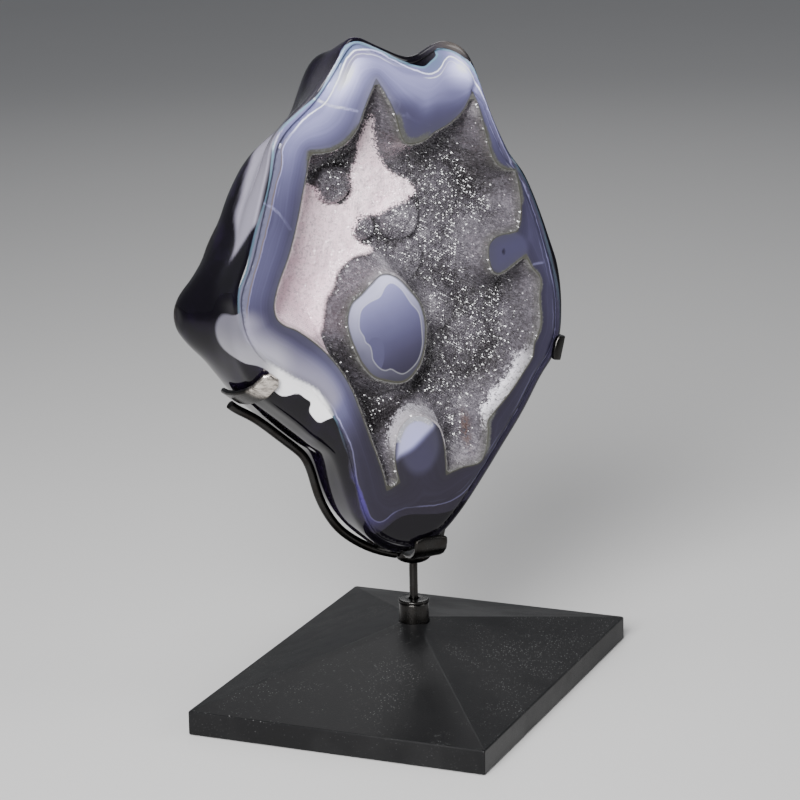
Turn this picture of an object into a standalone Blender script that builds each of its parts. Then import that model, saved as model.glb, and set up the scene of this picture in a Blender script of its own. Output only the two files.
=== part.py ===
"""Agate on stand: half of a polished geode, held by claws on a post that turns in a pyramid-topped base.

Units are metres, +Z is up. The origin is the centre of the base's underside, on the axis that the cradle
turns about. The geode's flat polished face looks towards -Y, and the base stands turned under it.
"""

import math

import bmesh
import bpy
import numpy as np
from mathutils import Matrix, Vector, noise
from mathutils.bvhtree import BVHTree
from mathutils.geometry import delaunay_2d_cdt

MM = 0.001
NAME = "agate_on_stand"
GAP = 0.4 * MM  # clearance kept between pieces that touch

# Base: a steel plate box with a low pyramid on it
BASE_WIDTH = 180 * MM
BASE_LENGTH = 240 * MM
BASE_EDGE_HEIGHT = 14 * MM
BASE_RISE = 28.5 * MM
BASE_TURN = math.radians(-51)
BASE_EDGE_ROUND = 0.8 * MM

# Collar: a turned bush that stands in a socket at the pyramid's tip
COLLAR_RADIUS = 8.8 * MM
COLLAR_TOP = 54 * MM
COLLAR_FOOT = 32 * MM
COLLAR_LIP_HEIGHT = 1.6 * MM
COLLAR_LIP_PROUD = 0.5 * MM
COLLAR_GROOVE = 0.5 * MM

# Post and hub: the turning rod and the disc that the claws' arms are joined to
POST_RADIUS = 2.5 * MM
POST_TOP = 76.5 * MM
POST_CHAMFER = 0.5 * MM
HUB_RADIUS = 11 * MM
HUB_UNDERSIDE = POST_TOP + GAP
HUB_TOP = 85 * MM
HUB_NECK_RADIUS = 3.6 * MM
HUB_EDGE_ROUND = 1.0 * MM
HUB_RIM_HEIGHT = 3 * MM

# Arms: round rods that rise from the hub, as (across, height) in millimetres in the plane of the axis
ARM_RADIUS = 2.6 * MM
ARM_SEAT_RUN = (10 * MM, 3 * MM)  # where its last two points lie, short of its finger's middle
LEFT_ARM_PATH = ((-11.6, 83), (-26.4, 88.5), (-41.3, 98), (-51.4, 108), (-59.4, 122), (-63.6, 135),
                 (-67.7, 149), (-75.5, 158), (-92, 173))
RIGHT_ARM_PATH = ((12.3, 83.2), (17.5, 87.5), (20, 97), (27, 111), (38, 130), (51, 150), (64, 170))

# Claws: flat fingers bent over the face's edge, with the spot at that edge and the way inwards over the face
FINGER_THICKNESS = 3.2 * MM
FINGER_EDGE_ROUND = 0.9 * MM
FINGER_TIP_ROUND = 3.2 * MM
FINGER_REAR_DEPTH = 41 * MM
FINGER_OVER_FACE = 1.5 * MM
EDGE_DEPTHS = (0.05, 0.2, 0.5, 1, 1.8, 3, 4.5)  # where the stone's rounded edge is felt, in millimetres
LEFT_FINGER = {"spot": (-104, 212), "inward": (0.62, 0.785), "width": 12 * MM,
               "tip_depth": 1.6 * MM, "rear_shift": 4 * MM}
RIGHT_FINGER = {"spot": (77.5, 203), "inward": (-0.97, 0.24), "width": 14 * MM,
                "tip_depth": 0, "rear_shift": 0}

# Front tongue: a wide flat bar from the top of the hub forwards under the stone and up over the face's edge,
# with the bends of its underside as (forwards, above the hub) in millimetres
TONGUE_WIDTH = 21 * MM
TONGUE_BENDS = ((-7, 0), (11, 0), (20, 0.6), (28, 2.6), (34, 5.6), (37.5, 8.6))
TONGUE_LIP_ACROSS = -10 * MM
TONGUE_LIP_FOOT = 11 * MM
TONGUE_LIP_TOP = 104 * MM
TONGUE_TIP_ROUND = 1.5 * MM

# Geode: the face plane, the middle of the face, and the depths behind it of its widest section and its back
FACE_Y = -38 * MM
FACE_MIDDLE = (-25, 240)
WIDEST_DEPTH = 32
GEODE_DEPTH = 96
EDGE_ROUND = 4
LEANING_EDGE_ROUND = 1
LEANING_REACH = 10  # how far the flank swells past the face where its edge is at its sharpest
ROUND_CORNERS = (0, 40, 75)
RING_DEPTHS = (7, 14, 23, WIDEST_DEPTH, 45, 58, 71, 82, 90, 94.5)
ROUND_SHARE_OF_RIM = 0.55
EVENED_STRETCH = 80  # degrees of the outline that the back's bumps are evened over
LUMP_SIZE = 38
LUMP_RISE = 9
BACK_POWER = 2.4
TOP_BACK_POWER = 1.35
RING_POINTS = 90

# Outline of the face, clockwise from its top left peak, as (across, height) in millimetres
FACE_OUTLINE = (
    (-57, 391.5), (-49, 392), (-36, 386.5), (-23, 380.5), (-14, 378.5), (-8.5, 381.5), (-2, 385),
    (9, 385), (18, 380), (24, 371), (29, 357), (37.5, 337), (48, 317), (57.5, 304), (65.5, 286.5),
    (72.8, 267), (77.8, 252), (80.4, 233.5), (80, 214), (76, 200), (66, 186.5), (54, 167.5), (40, 149),
    (28.5, 134), (17, 120), (8, 110.5), (-3, 102), (-19, 98), (-36, 102), (-48, 113), (-54.5, 131),
    (-60, 154), (-63.5, 168), (-72, 184), (-83, 197.5), (-97, 208), (-112, 220), (-123, 235),
    (-127, 250), (-126, 261), (-119.5, 277), (-114, 295), (-109, 312), (-104, 330), (-100.5, 342),
    (-91, 352), (-78.5, 362), (-68, 374), (-60.5, 384),
)

# Outline of the section at the widest depth, in the same order
WIDEST_OUTLINE = (
    (-57, 379), (-43, 375), (-26, 366), (-14, 363), (-2, 367), (9, 368), (18, 363), (25, 350),
    (33, 333), (44, 311), (54, 296), (62, 279), (69, 261), (74, 246), (77, 230), (76.5, 212),
    (71.5, 196), (62, 181), (50, 162), (36, 144), (24, 128), (12, 112), (1, 102), (-12, 95),
    (-25, 91.8), (-39.4, 100.6), (-48.8, 109.8), (-56.5, 123.4), (-60.5, 136.2), (-64.8, 150.9),
    (-72.4, 159.8), (-90.3, 175.6), (-106.5, 189), (-116, 200), (-123, 214), (-127, 229), (-127.5, 244),
    (-123, 260), (-114, 281), (-107, 301), (-96, 322), (-87, 333), (-76, 344), (-70, 357), (-66, 370),
)

# Edge of the hollow: each stretch runs clockwise from one sharp corner to the next, in millimetres
HOLLOW_EDGE = (
    ((-38.5, 368.5), (-33, 360), (-27.5, 349), (-24.5, 338), (-21, 332), (-15, 331), (-8.5, 332.5), (-3, 336),
     (6.5, 340), (15, 346), (19, 352)),
    ((22, 357), (27, 344), (30, 333), (33, 322), (36.5, 315), (42, 311)),
    ((49, 309.5), (51.5, 298.5), (52.5, 289), (52, 280)),
    ((50, 274.5), (44, 274), (37, 273), (32.5, 270), (31, 264.5), (32, 257), (35, 252), (40, 251.5),
     (46, 254.5)),
    ((55.5, 260), (59, 253), (65, 245), (64.5, 234), (65, 218), (61, 208.5), (59.5, 200), (54.5, 193),
     (44.5, 181), (34, 171), (29.5, 166), (29.5, 159), (27.5, 147.5), (23, 142), (12, 141)),
    ((2, 138.5), (1.5, 147), (1, 154), (-0.5, 161), (-3, 167), (-9, 172.5), (-16, 175.5), (-22, 174.5),
     (-27, 170), (-30, 163), (-31, 154), (-30.5, 147)),
    ((-28.5, 138.5),),
    ((-36.5, 135), (-40, 148.5), (-47, 168), (-57, 195), (-65.5, 210), (-77, 223.5), (-90, 234),
     (-98.5, 238.5), (-103, 243.5), (-104, 251), (-101, 262), (-94, 278), (-88.5, 296), (-84, 315)),
    ((-80, 332), (-73, 331.5), (-65, 332.5), (-57, 336.5), (-50.5, 343.5), (-45, 356)),
)

# Cut end of the stalactite in the hollow, clockwise, in millimetres
STALACTITE_EDGE = (
    (-33, 259.5), (-26.5, 256), (-19.5, 248.5), (-13.5, 240.5), (-10.5, 231), (-10, 223), (-11, 214.5),
    (-14.5, 205), (-20.5, 198.5), (-27, 196.5), (-35.5, 198.5), (-43.5, 202), (-50, 209), (-54.5, 218),
    (-58, 227), (-59.5, 236), (-57, 245), (-50.5, 250), (-44, 255.5), (-38.5, 259.5),
)

# Hollow: its floor, its sloping wall and the round knobs on its floor
HOLLOW_DEPTH = 26
WALL_RUN = 17
WALL_POWER = 2.3
KNOBS = ((-62, 296, 10, 8), (-36, 279, 8, 6), (-20, 282, 12, 8), (-12, 262, 12, 5), (12, 300, 16, 6),
         (30, 205, 18, 7), (5, 232, 16, 4), (-52, 180, 12, 4))  # across, height, reach and rise of each
FLOOR_ROUGHNESS = 1.5
FLOOR_ROUGH_SIZE = 22
EDGE_STEP = 5
FLOOR_STEP = 8.5
FLOOR_JITTER = 1.2
FLOOR_MARGIN = 4
GRID_CORNER = (-130, 85)
GRID_SIZE = (240, 320)

# Crystal crust: a lining whose free side is flat-faced pyramids
CRUST_INSET = 1.6
CRUST_CLEARANCE = 1.0
CRUST_THICKNESS = 2.2
CRUST_LEAST_DEPTH = 0.6
CRYSTAL_PITCH = 7.8
CRYSTAL_RISE = 3.0
CRYSTAL_JITTER = 1.3
CRYSTAL_MARGIN = 1.7

# Left shoulder: the back of the nodule swells out past the face on that side
SHOULDER_DIRECTION = (-100, -4)
SHOULDER_REACH = 19
SHOULDER_DEPTH = 58
SHOULDER_SPREAD = 0.22
SHOULDER_LENGTH = 20


def material(name, colour, roughness, metallic=0.0, transmission=0.0):
    """A plain surface of the piece's own colour."""
    made = bpy.data.materials.new(name)
    made.use_nodes = True
    shader = made.node_tree.nodes["Principled BSDF"]
    shader.inputs["Base Color"].default_value = (*colour, 1)
    shader.inputs["Roughness"].default_value = roughness
    shader.inputs["Metallic"].default_value = metallic
    shader.inputs["Transmission Weight"].default_value = transmission
    return made


def collection(name):
    made = bpy.data.collections.new(name)
    bpy.context.scene.collection.children.link(made)
    return made


def add_object(name, data, group, parent, surface):
    """Links an object for a sub-part, with its material and parent."""
    made = bpy.data.objects.new(name, data)
    group.objects.link(made)
    made.parent = parent
    if surface:
        data.materials.append(surface)
    return made


def mesh_from(bm, name):
    """A mesh of the edited shape, with its faces turned outwards."""
    bmesh.ops.recalc_face_normals(bm, faces=bm.faces)
    mesh = bpy.data.meshes.new(name)
    bm.to_mesh(mesh)
    bm.free()
    return mesh


def add_bevel(made, width, segments=2, angle=40):
    bevel = made.modifiers.new("edge_round", "BEVEL")
    bevel.width = width
    bevel.segments = segments
    bevel.limit_method = "ANGLE"
    bevel.angle_limit = math.radians(angle)


def add_turned(name, profile, group, parent, surface, steps=40):
    """A round piece turned about Z from (radius, height) points that run down its outer side."""
    mesh = bpy.data.meshes.new(name)
    points = [(radius, 0, height) for radius, height in profile]
    edges = [(i, (i + 1) % len(points)) for i in range(len(points))]
    if profile[0][0] == 0:
        edges = edges[:-1]
    mesh.from_pydata(points, edges, [])
    made = add_object(name, mesh, group, parent, surface)
    screw = made.modifiers.new("turn", "SCREW")
    screw.steps = steps
    screw.render_steps = steps
    screw.use_merge_vertices = True
    screw.merge_threshold = 0.00001
    return made


# Outlines

def smooth_through(points, closed, per_span=8):
    """Points of a Catmull-Rom curve through the given points."""
    count = len(points)
    spans = count if closed else count - 1
    found = []
    for i in range(spans):
        if closed:
            before, start, end, after = (points[(i + k) % count] for k in (-1, 0, 1, 2))
        else:
            before, start, end, after = (points[min(max(i + k, 0), count - 1)] for k in (-1, 0, 1, 2))
        for step in range(per_span):
            t = step / per_span
            weights = (
                -t + 2 * t**2 - t**3,
                2 - 5 * t**2 + 3 * t**3,
                t + 4 * t**2 - 3 * t**3,
                -(t**2) + t**3,
            )
            pulls = (Vector(p) * w / 2 for p, w in zip((before, start, end, after), weights))
            found.append(sum(pulls, Vector((0, 0))))
    if not closed:
        found.append(Vector(points[-1]))
    return found


def spaced(points, step):
    """The open line through the points, cut into equal steps, without its last point."""
    lengths = [0.0]
    for a, b in zip(points, points[1:]):
        lengths.append(lengths[-1] + (b - a).length)
    count = max(1, round(lengths[-1] / step))
    found = []
    span = 0
    for i in range(count):
        target = lengths[-1] * i / count
        while lengths[span + 1] < target:
            span += 1
        share = (target - lengths[span]) / (lengths[span + 1] - lengths[span])
        found.append(points[span].lerp(points[span + 1], share))
    return found


def hollow_edge():
    """The hollow's edge as one closed line that keeps its sharp corners."""
    line = []
    for i, stretch in enumerate(HOLLOW_EDGE):
        corner = HOLLOW_EDGE[(i + 1) % len(HOLLOW_EDGE)][0]
        line += spaced(smooth_through((*stretch, corner), closed=False), EDGE_STEP)
    return line


def closed_outline(points, step):
    line = smooth_through(points, closed=True)
    return spaced([*line, line[0]], step)


def offset_line(line, distance):
    """The closed clockwise line moved to its right, which is inwards, mitred at its corners."""
    moved = []
    count = len(line)
    for i, point in enumerate(line):
        along = (point - line[i - 1]).normalized(), (line[(i + 1) % count] - point).normalized()
        sides = [Vector((d.y, -d.x)) for d in along]
        middle = (sides[0] + sides[1]).normalized()
        moved.append(point + middle * distance / max(middle.dot(sides[0]), 0.35))
    return moved


def offset_path(line, distance):
    """The open line moved to its left, mitred at its bends."""
    runs = [(b - a).normalized() for a, b in zip(line, line[1:])]
    moved = []
    for i, point in enumerate(line):
        before, after = runs[max(i - 1, 0)], runs[min(i, len(runs) - 1)]
        sides = [Vector((-d.y, d.x)) for d in (before, after)]
        middle = (sides[0] + sides[1]).normalized()
        moved.append(point + middle * distance / middle.dot(sides[0]))
    return moved


def inside(point, line):
    """Whether the point lies within the closed line."""
    crossings = 0
    for a, b in zip(line, [*line[1:], line[0]]):
        if (a.y > point.y) != (b.y > point.y):
            if point.x < a.x + (point.y - a.y) / (b.y - a.y) * (b.x - a.x):
                crossings += 1
    return crossings % 2 == 1


def distance_to(point, lines):
    """The shortest way from the point to any of the closed lines."""
    best = math.inf
    for line in lines:
        for a, b in zip(line, [*line[1:], line[0]]):
            run = b - a
            share = min(max((point - a).dot(run) / run.length_squared, 0), 1)
            best = min(best, (a + run * share - point).length)
    return best


# Hollow

def hollow_depth(point, edges):
    """How far the hollow's wall or floor lies behind the face at a point of it."""
    reach = min(distance_to(point, edges) / WALL_RUN, 1)
    depth = HOLLOW_DEPTH * (1 - (1 - reach) ** WALL_POWER)
    swell = 0
    for across, height, size, rise in KNOBS:
        away = (point - Vector((across, height))).length / size
        swell = max(swell, rise * math.sqrt(max(0, 1 - away * away)))
    rough = FLOOR_ROUGHNESS * noise.noise(Vector((*(point / FLOOR_ROUGH_SIZE), 3)))
    return depth - (swell + rough) * reach**2


def jittered_grid(step, shift, seed):
    """Points of a triangular grid over the face, moved a little at random, with their rows and columns."""
    chance = np.random.default_rng(seed)
    row_step = step * math.sqrt(3) / 2
    found = []
    for row in range(int(GRID_SIZE[1] / row_step)):
        for column in range(int(GRID_SIZE[0] / step)):
            place = Vector(GRID_CORNER) + Vector(((column + row % 2 / 2) * step, row * row_step))
            found.append((place + Vector(chance.uniform(-shift, shift, 2)), row, column))
    return found


def triangulate(points, lines):
    """Triangles over points and closed lines, all of them kept as they are."""
    joined = list(points)
    edges = []
    for line in lines:
        start = len(joined)
        joined += line
        edges += [(start + i, start + (i + 1) % len(line)) for i in range(len(line))]
    made = delaunay_2d_cdt([p.to_2d() for p in joined], edges, [], 1, 1e-5)
    return made[0], made[2]


def placed(point, depth):
    """The point of the face at that depth behind it, in metres."""
    return Vector((point.x * MM, FACE_Y + depth * MM, point.y * MM))


# Geode

def reach_table(outline):
    """The outline's distance from the face's middle, as matching lists of directions and lengths."""
    middle = Vector(FACE_MIDDLE)
    around = [p - middle for p in smooth_through(outline, closed=True)]
    angles = np.unwrap([math.atan2(p.y, p.x) for p in around])[::-1]
    lengths = np.array([p.length for p in around])[::-1]
    turns = (-4 * math.pi, -2 * math.pi, 0, 2 * math.pi, 4 * math.pi)
    return np.concatenate([angles + turn for turn in turns]), np.tile(lengths, len(turns))


def shoulder(direction, depth):
    """How far the back of the nodule swells out on the left."""
    towards = Vector(SHOULDER_DIRECTION).normalized().dot(direction)
    around = math.exp(-((math.acos(min(towards, 1)) / SHOULDER_SPREAD) ** 2))
    return SHOULDER_REACH * around * math.exp(-(((depth - SHOULDER_DEPTH) / SHOULDER_LENGTH) ** 2))


def evened(reaches):
    """The reaches all round, each one the average of its stretch, so that bumps fade."""
    count = len(reaches)
    half = count * EVENED_STRETCH // 720
    stretch = range(-half, half + 1)
    return [sum(reaches[(i + k) % count] for k in stretch) / len(stretch) for i in range(count)]


def flank_reach(face, widest, even, depth, upwards):
    """The nodule's reach at a depth, from its reach at the face and at its widest section."""
    if depth > WIDEST_DEPTH:
        share = (depth - WIDEST_DEPTH) / (GEODE_DEPTH - WIDEST_DEPTH)
        power = BACK_POWER + (TOP_BACK_POWER - BACK_POWER) * max(upwards, 0) ** 3
        return (widest + (even - widest) * share) * (1 - share**power) ** (1 / power)
    share = depth / WIDEST_DEPTH
    blend = math.sqrt(1 - (1 - share) ** 2) if widest > face else share**1.5
    return face + (widest - face) * blend


def nodule_rings(edge):
    """Rings of the nodule's outside, from the flat of the face round its edge and along to the back."""
    middle = Vector(FACE_MIDDLE)
    corners = [math.radians(a) for a in ROUND_CORNERS]
    angles = [-2 * math.pi * step / RING_POINTS for step in range(RING_POINTS)]
    faces, sections = ([float(np.interp(angle, *table)) for angle in angles]
                       for table in (reach_table(FACE_OUTLINE), reach_table(WIDEST_OUTLINE)))
    rings = [[] for _ in range(len(corners) + len(RING_DEPTHS))]
    for angle, face, widest, even in zip(angles, faces, sections, evened(sections)):
        direction = Vector((math.cos(angle), math.sin(angle)))
        leaning = min(max((widest - face) / LEANING_REACH, 0), 1)
        width = min(EDGE_ROUND + (LEANING_EDGE_ROUND - EDGE_ROUND) * leaning,
                    distance_to(middle + direction * face, (edge,)) * ROUND_SHARE_OF_RIM)
        for ring, corner in zip(rings, corners):
            reach = face - width * (1 - math.sin(corner))
            ring.append((middle + direction * reach, width * (1 - math.cos(corner))))
        for ring, depth in zip(rings[len(corners):], RING_DEPTHS):
            reach = flank_reach(face, widest, even, depth, direction.y) + shoulder(direction, depth)
            lump = noise.noise(Vector((*(direction * reach / LUMP_SIZE), depth / LUMP_SIZE)))
            reach += LUMP_RISE * lump * (depth / GEODE_DEPTH) ** 1.5
            ring.append((middle + direction * reach, depth))
    return rings


def add_geode(group, parent, surface):
    """The stone in one piece: a nodule with a flat face, a hollow in it and the stalactite's cut end."""
    edge = hollow_edge()
    rings = nodule_rings(edge)
    crust_edge = offset_line(edge, CRUST_INSET)
    stalactite = closed_outline(STALACTITE_EDGE, EDGE_STEP)
    skirt = offset_line(stalactite, -CRUST_INSET)
    edges = (edge, stalactite)
    floor = [p for p, _, _ in jittered_grid(FLOOR_STEP, FLOOR_JITTER, seed=4)
             if inside(p, edge) and not inside(p, stalactite) and distance_to(p, edges) > FLOOR_MARGIN]
    points, faces = triangulate(floor, ([p for p, _ in rings[0]], edge, crust_edge, stalactite, skirt))

    bm = bmesh.new()
    depths = []
    for point in points:
        hollow = inside(point, edge) and not inside(point, stalactite) and distance_to(point, edges) > 0.01
        depths.append(hollow_depth(point, edges) if hollow else 0)
    front = [bm.verts.new(placed(p, d)) for p, d in zip(points, depths)]
    for face in faces:
        bm.faces.new([front[i] for i in face])
    loops = [[bm.verts.new(placed(p, d)) for p, d in ring] for ring in rings]
    for loop in loops:
        for a, b in zip(loop, [*loop[1:], loop[0]]):
            bm.edges.new((a, b))
    for pair in zip(loops, loops[1:]):
        sides = {e for loop in pair for v in loop for e in v.link_edges if e.other_vert(v) in set(loop)}
        bmesh.ops.bridge_loops(bm, edges=list(sides))
    pole = bm.verts.new(placed(Vector(FACE_MIDDLE), GEODE_DEPTH))
    for a, b in zip(loops[-1], [*loops[-1][1:], loops[-1][0]]):
        bm.faces.new((a, b, pole))
    bmesh.ops.remove_doubles(bm, verts=bm.verts, dist=0.00001)
    mesh = mesh_from(bm, "agate")
    add_object("agate", mesh, group, parent, surface)

    skin = BVHTree.FromPolygons([v.co for v in mesh.vertices], [p.vertices for p in mesh.polygons])
    return (points, faces, depths), crust_edge, skirt, edges, skin


def add_crust(lining, crust_edge, skirt, edges, group, parent, surface):
    """The crystal lining: its back follows the hollow, and its free side is a field of pyramids."""
    bm = bmesh.new()

    def vertex(known, point, depth):
        key = (round(point.x, 3), round(point.y, 3))
        if key not in known:
            known[key] = bm.verts.new(placed(point, depth))
        return known[key]

    def within(points, face):
        middle = sum((points[i] for i in face), Vector((0, 0))) / 3
        return inside(middle, crust_edge) and not inside(middle, skirt)

    back = {}
    points, faces, depths = lining
    for face in faces:
        if within(points, face):
            bm.faces.new([vertex(back, points[i], depths[i] - CRUST_CLEARANCE) for i in face])

    step = CRYSTAL_PITCH / math.sqrt(3)
    chance = np.random.default_rng(11)
    crystals = []
    rises = {}
    for point, row, column in jittered_grid(step, CRYSTAL_JITTER, seed=5):
        if not inside(point, crust_edge) or inside(point, skirt):
            continue
        if distance_to(point, (crust_edge, skirt)) < CRYSTAL_MARGIN:
            continue
        crystals.append(point)
        if (column + (row % 2) * 2) % 3 == 0:
            rises[(round(point.x, 3), round(point.y, 3))] = CRYSTAL_RISE * chance.uniform(0.7, 1.25)
    points, faces = triangulate(crystals, (crust_edge, skirt))
    top = {}
    for face in faces:
        if not within(points, face):
            continue
        corners = []
        for point in (points[i] for i in face):
            rise = rises.get((round(point.x, 3), round(point.y, 3)), 0)
            depth = hollow_depth(point, edges) - CRUST_CLEARANCE - CRUST_THICKNESS - rise
            corners.append(vertex(top, point, max(depth, CRUST_LEAST_DEPTH)))
        bm.faces.new(corners)
    for line in (crust_edge, skirt):
        keys = [(round(p.x, 3), round(p.y, 3)) for p in line]
        for a, b in zip(keys, [*keys[1:], keys[0]]):
            bm.faces.new((back[a], back[b], top[b], top[a]))
    mesh = mesh_from(bm, "crystal_crust")
    add_object("crystal_crust", mesh, group, parent, surface)


# Stand

def add_base(group, cutters, parent, surface):
    """The box with its low pyramid, and the socket at the tip that the collar stands in."""
    bm = bmesh.new()
    size = Matrix.Diagonal((BASE_WIDTH, BASE_LENGTH, BASE_EDGE_HEIGHT, 1))
    bmesh.ops.create_cube(bm, size=1, matrix=Matrix.Translation((0, 0, BASE_EDGE_HEIGHT / 2)) @ size)
    top = [f for f in bm.faces if f.normal.z > 0.5]
    bmesh.ops.poke(bm, faces=top, offset=BASE_RISE)
    base = add_object("base", mesh_from(bm, "base"), group, parent, surface)
    add_bevel(base, BASE_EDGE_ROUND, angle=12)
    depth = BASE_EDGE_HEIGHT + BASE_RISE
    bm = bmesh.new()
    place = Matrix.Translation((0, 0, COLLAR_FOOT - GAP + depth / 2))
    radius = COLLAR_RADIUS + GAP
    bmesh.ops.create_cone(bm, cap_ends=True, segments=40, radius1=radius, radius2=radius, depth=depth,
                          matrix=place)
    socket = add_object("collar_socket", mesh_from(bm, "collar_socket"), cutters, parent, None)
    socket.hide_render = True
    socket.display_type = "WIRE"
    cut = base.modifiers.new("socket", "BOOLEAN")
    cut.operation = "DIFFERENCE"
    cut.object = socket


def add_collar(group, parent, surface):
    """A bush with a proud lip at its top, a fine groove under it and the post's bore through it."""
    bore = POST_RADIUS + GAP
    lip_foot = COLLAR_TOP - COLLAR_LIP_HEIGHT
    lip = COLLAR_RADIUS + COLLAR_LIP_PROUD
    profile = [(bore, COLLAR_TOP), (COLLAR_RADIUS, COLLAR_TOP), (lip, COLLAR_TOP - COLLAR_LIP_PROUD),
               (lip, lip_foot), (COLLAR_RADIUS - COLLAR_GROOVE, lip_foot - COLLAR_GROOVE),
               (COLLAR_RADIUS, lip_foot - 2 * COLLAR_GROOVE), (COLLAR_RADIUS, COLLAR_FOOT),
               (bore, COLLAR_FOOT)]
    add_turned("collar", profile, group, parent, surface, steps=36)


def add_post(group, parent, surface):
    """The round post, from just over the socket's floor to the hub."""
    foot = COLLAR_FOOT + GAP
    narrow = POST_RADIUS - POST_CHAMFER
    profile = [(0, POST_TOP), (narrow, POST_TOP), (POST_RADIUS, POST_TOP - POST_CHAMFER),
               (POST_RADIUS, foot + POST_CHAMFER), (narrow, foot), (0, foot)]
    add_turned("post", profile, group, parent, surface, steps=32)


def add_hub(group, parent, surface):
    """The disc under the stone, which flares out from the post like a shallow bowl."""
    rim_foot = HUB_TOP - HUB_RIM_HEIGHT
    flare = HUB_RADIUS - HUB_NECK_RADIUS
    bowl = [(HUB_NECK_RADIUS + flare * math.cos(t), rim_foot - (rim_foot - HUB_UNDERSIDE) * math.sin(t))
            for t in (math.radians(a) for a in (0, 22.5, 45, 67.5, 90))]
    profile = [(0, HUB_TOP), (HUB_RADIUS - HUB_EDGE_ROUND, HUB_TOP), (HUB_RADIUS, HUB_TOP - HUB_EDGE_ROUND),
               *bowl, (0, HUB_UNDERSIDE)]
    add_turned("hub", profile, group, parent, surface, steps=32)


# Claws

def shifted(finger, depth):
    """How far the finger has moved sideways at a depth."""
    return finger["rear_shift"] * depth / FINGER_REAR_DEPTH


def stone_edge(skin, finger, depth):
    """The stone's edge at a depth, measured inwards from the finger's spot, across the finger's width."""
    spot = placed(Vector(finger["spot"]), depth / MM)
    inward = Vector((finger["inward"][0], 0, finger["inward"][1])).normalized()
    aside = Vector((0, 1, 0)).cross(inward)
    well_outside = 100 * MM
    reaches = []
    for share in (-0.5, -0.25, 0, 0.25, 0.5):
        start = spot - inward * well_outside + aside * (finger["width"] * share + shifted(finger, depth))
        reaches.append(skin.ray_cast(start, inward)[3] - well_outside)
    return min(reaches)


def finger_path(skin, finger):
    """The finger's inner side as (inwards, depth) points, drawn tight round the stone's flank and edge."""
    depths = [d * MM for d in (*EDGE_DEPTHS, *RING_DEPTHS)]
    felt = [d for d in depths if finger["tip_depth"] <= d <= WIDEST_DEPTH * MM]
    flank = [Vector((stone_edge(skin, finger, depth), depth)) for depth in felt]
    tip = flank[0] if finger["tip_depth"] else flank[0] + Vector((FINGER_OVER_FACE, 0))
    path = [Vector((flank[-1].x, FINGER_REAR_DEPTH))]
    rest = [*flank, tip]
    while path[-1] != tip:
        here = path[-1]
        best = rest[0]
        for point in rest[1:]:
            turn = (best - here).cross(point - here)
            if turn < 0:
                best = point
        path.append(best)
        rest = rest[:rest.index(best)] + rest[rest.index(best) + 1:]
    return offset_path(path, -GAP)


def add_strip(name, path, place, half_width, tip_round, group, parent, surface):
    """A flat bar bent along a path, with the two corners of its tip cut off."""
    shares = (-1, -0.5, 0.5, 1)
    bm = bmesh.new()
    rows = []
    pulled_tip = path[-1].lerp(path[-2], tip_round / (path[-1] - path[-2]).length)
    for point, side in zip(path, [*path[:-1], pulled_tip]):
        rows.append([bm.verts.new(place(side if abs(share) == 1 else point, share * half_width))
                     for share in shares])
    for first, second in zip(rows, rows[1:]):
        for k in range(len(shares) - 1):
            bm.faces.new((first[k], first[k + 1], second[k + 1], second[k]))
    mesh = bpy.data.meshes.new(name)
    bm.to_mesh(mesh)
    bm.free()
    made = add_object(name, mesh, group, parent, surface)
    solidify = made.modifiers.new("thickness", "SOLIDIFY")
    solidify.thickness = FINGER_THICKNESS
    solidify.offset = 1
    solidify.use_even_offset = True
    add_bevel(made, FINGER_EDGE_ROUND, segments=1, angle=50)


def add_finger(name, skin, finger, group, parent, surface):
    """A claw's flat finger. Returns its rear end's outer side and the way along its width."""
    inward = Vector((finger["inward"][0], 0, finger["inward"][1])).normalized()
    aside = Vector((0, 1, 0)).cross(inward)
    spot = placed(Vector(finger["spot"]), 0)

    def place(point, across):
        return spot + inward * point.x + Vector((0, point.y, 0)) + aside * (across + shifted(finger, point.y))

    path = finger_path(skin, finger)
    tip_round = min(FINGER_TIP_ROUND, (path[-1] - path[-2]).length * 0.8)
    add_strip(name, path, place, finger["width"] / 2, tip_round, group, parent, surface)
    return place(Vector((path[0].x - FINGER_THICKNESS, -FACE_Y)), 0), aside, inward


def cleared(skin, place):
    """The rod's middle at a place of its plane, pushed away where the rod would touch the stone."""
    point = Vector((place.x, 0, place.y))
    nearest, outward, _, _ = skin.find_nearest(point)
    room = ARM_RADIUS + GAP * 1.5
    return nearest + outward * room if (point - nearest).dot(outward) < room else point


def add_arm(name, skin, path, rear, aside, outward, group, parent, surface):
    """A round rod from the hub along the stone up to the outer side of a finger's rear end."""
    seat = rear + outward * (ARM_RADIUS + GAP)
    ends = [seat - aside * run for run in ARM_SEAT_RUN]
    knots = [*((x * MM, z * MM) for x, z in path), *((p.x, p.z) for p in ends)]
    line = smooth_through(knots, closed=False, per_span=2)
    curve = bpy.data.curves.new(name, "CURVE")
    curve.dimensions = "3D"
    curve.bevel_depth = ARM_RADIUS
    curve.bevel_resolution = 3
    curve.use_fill_caps = True
    spline = curve.splines.new("POLY")
    spline.points.add(len(line) - 1)
    for point, place in zip(spline.points, line):
        point.co = (*cleared(skin, place), 1)
    add_object(name, curve, group, parent, surface)


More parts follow.
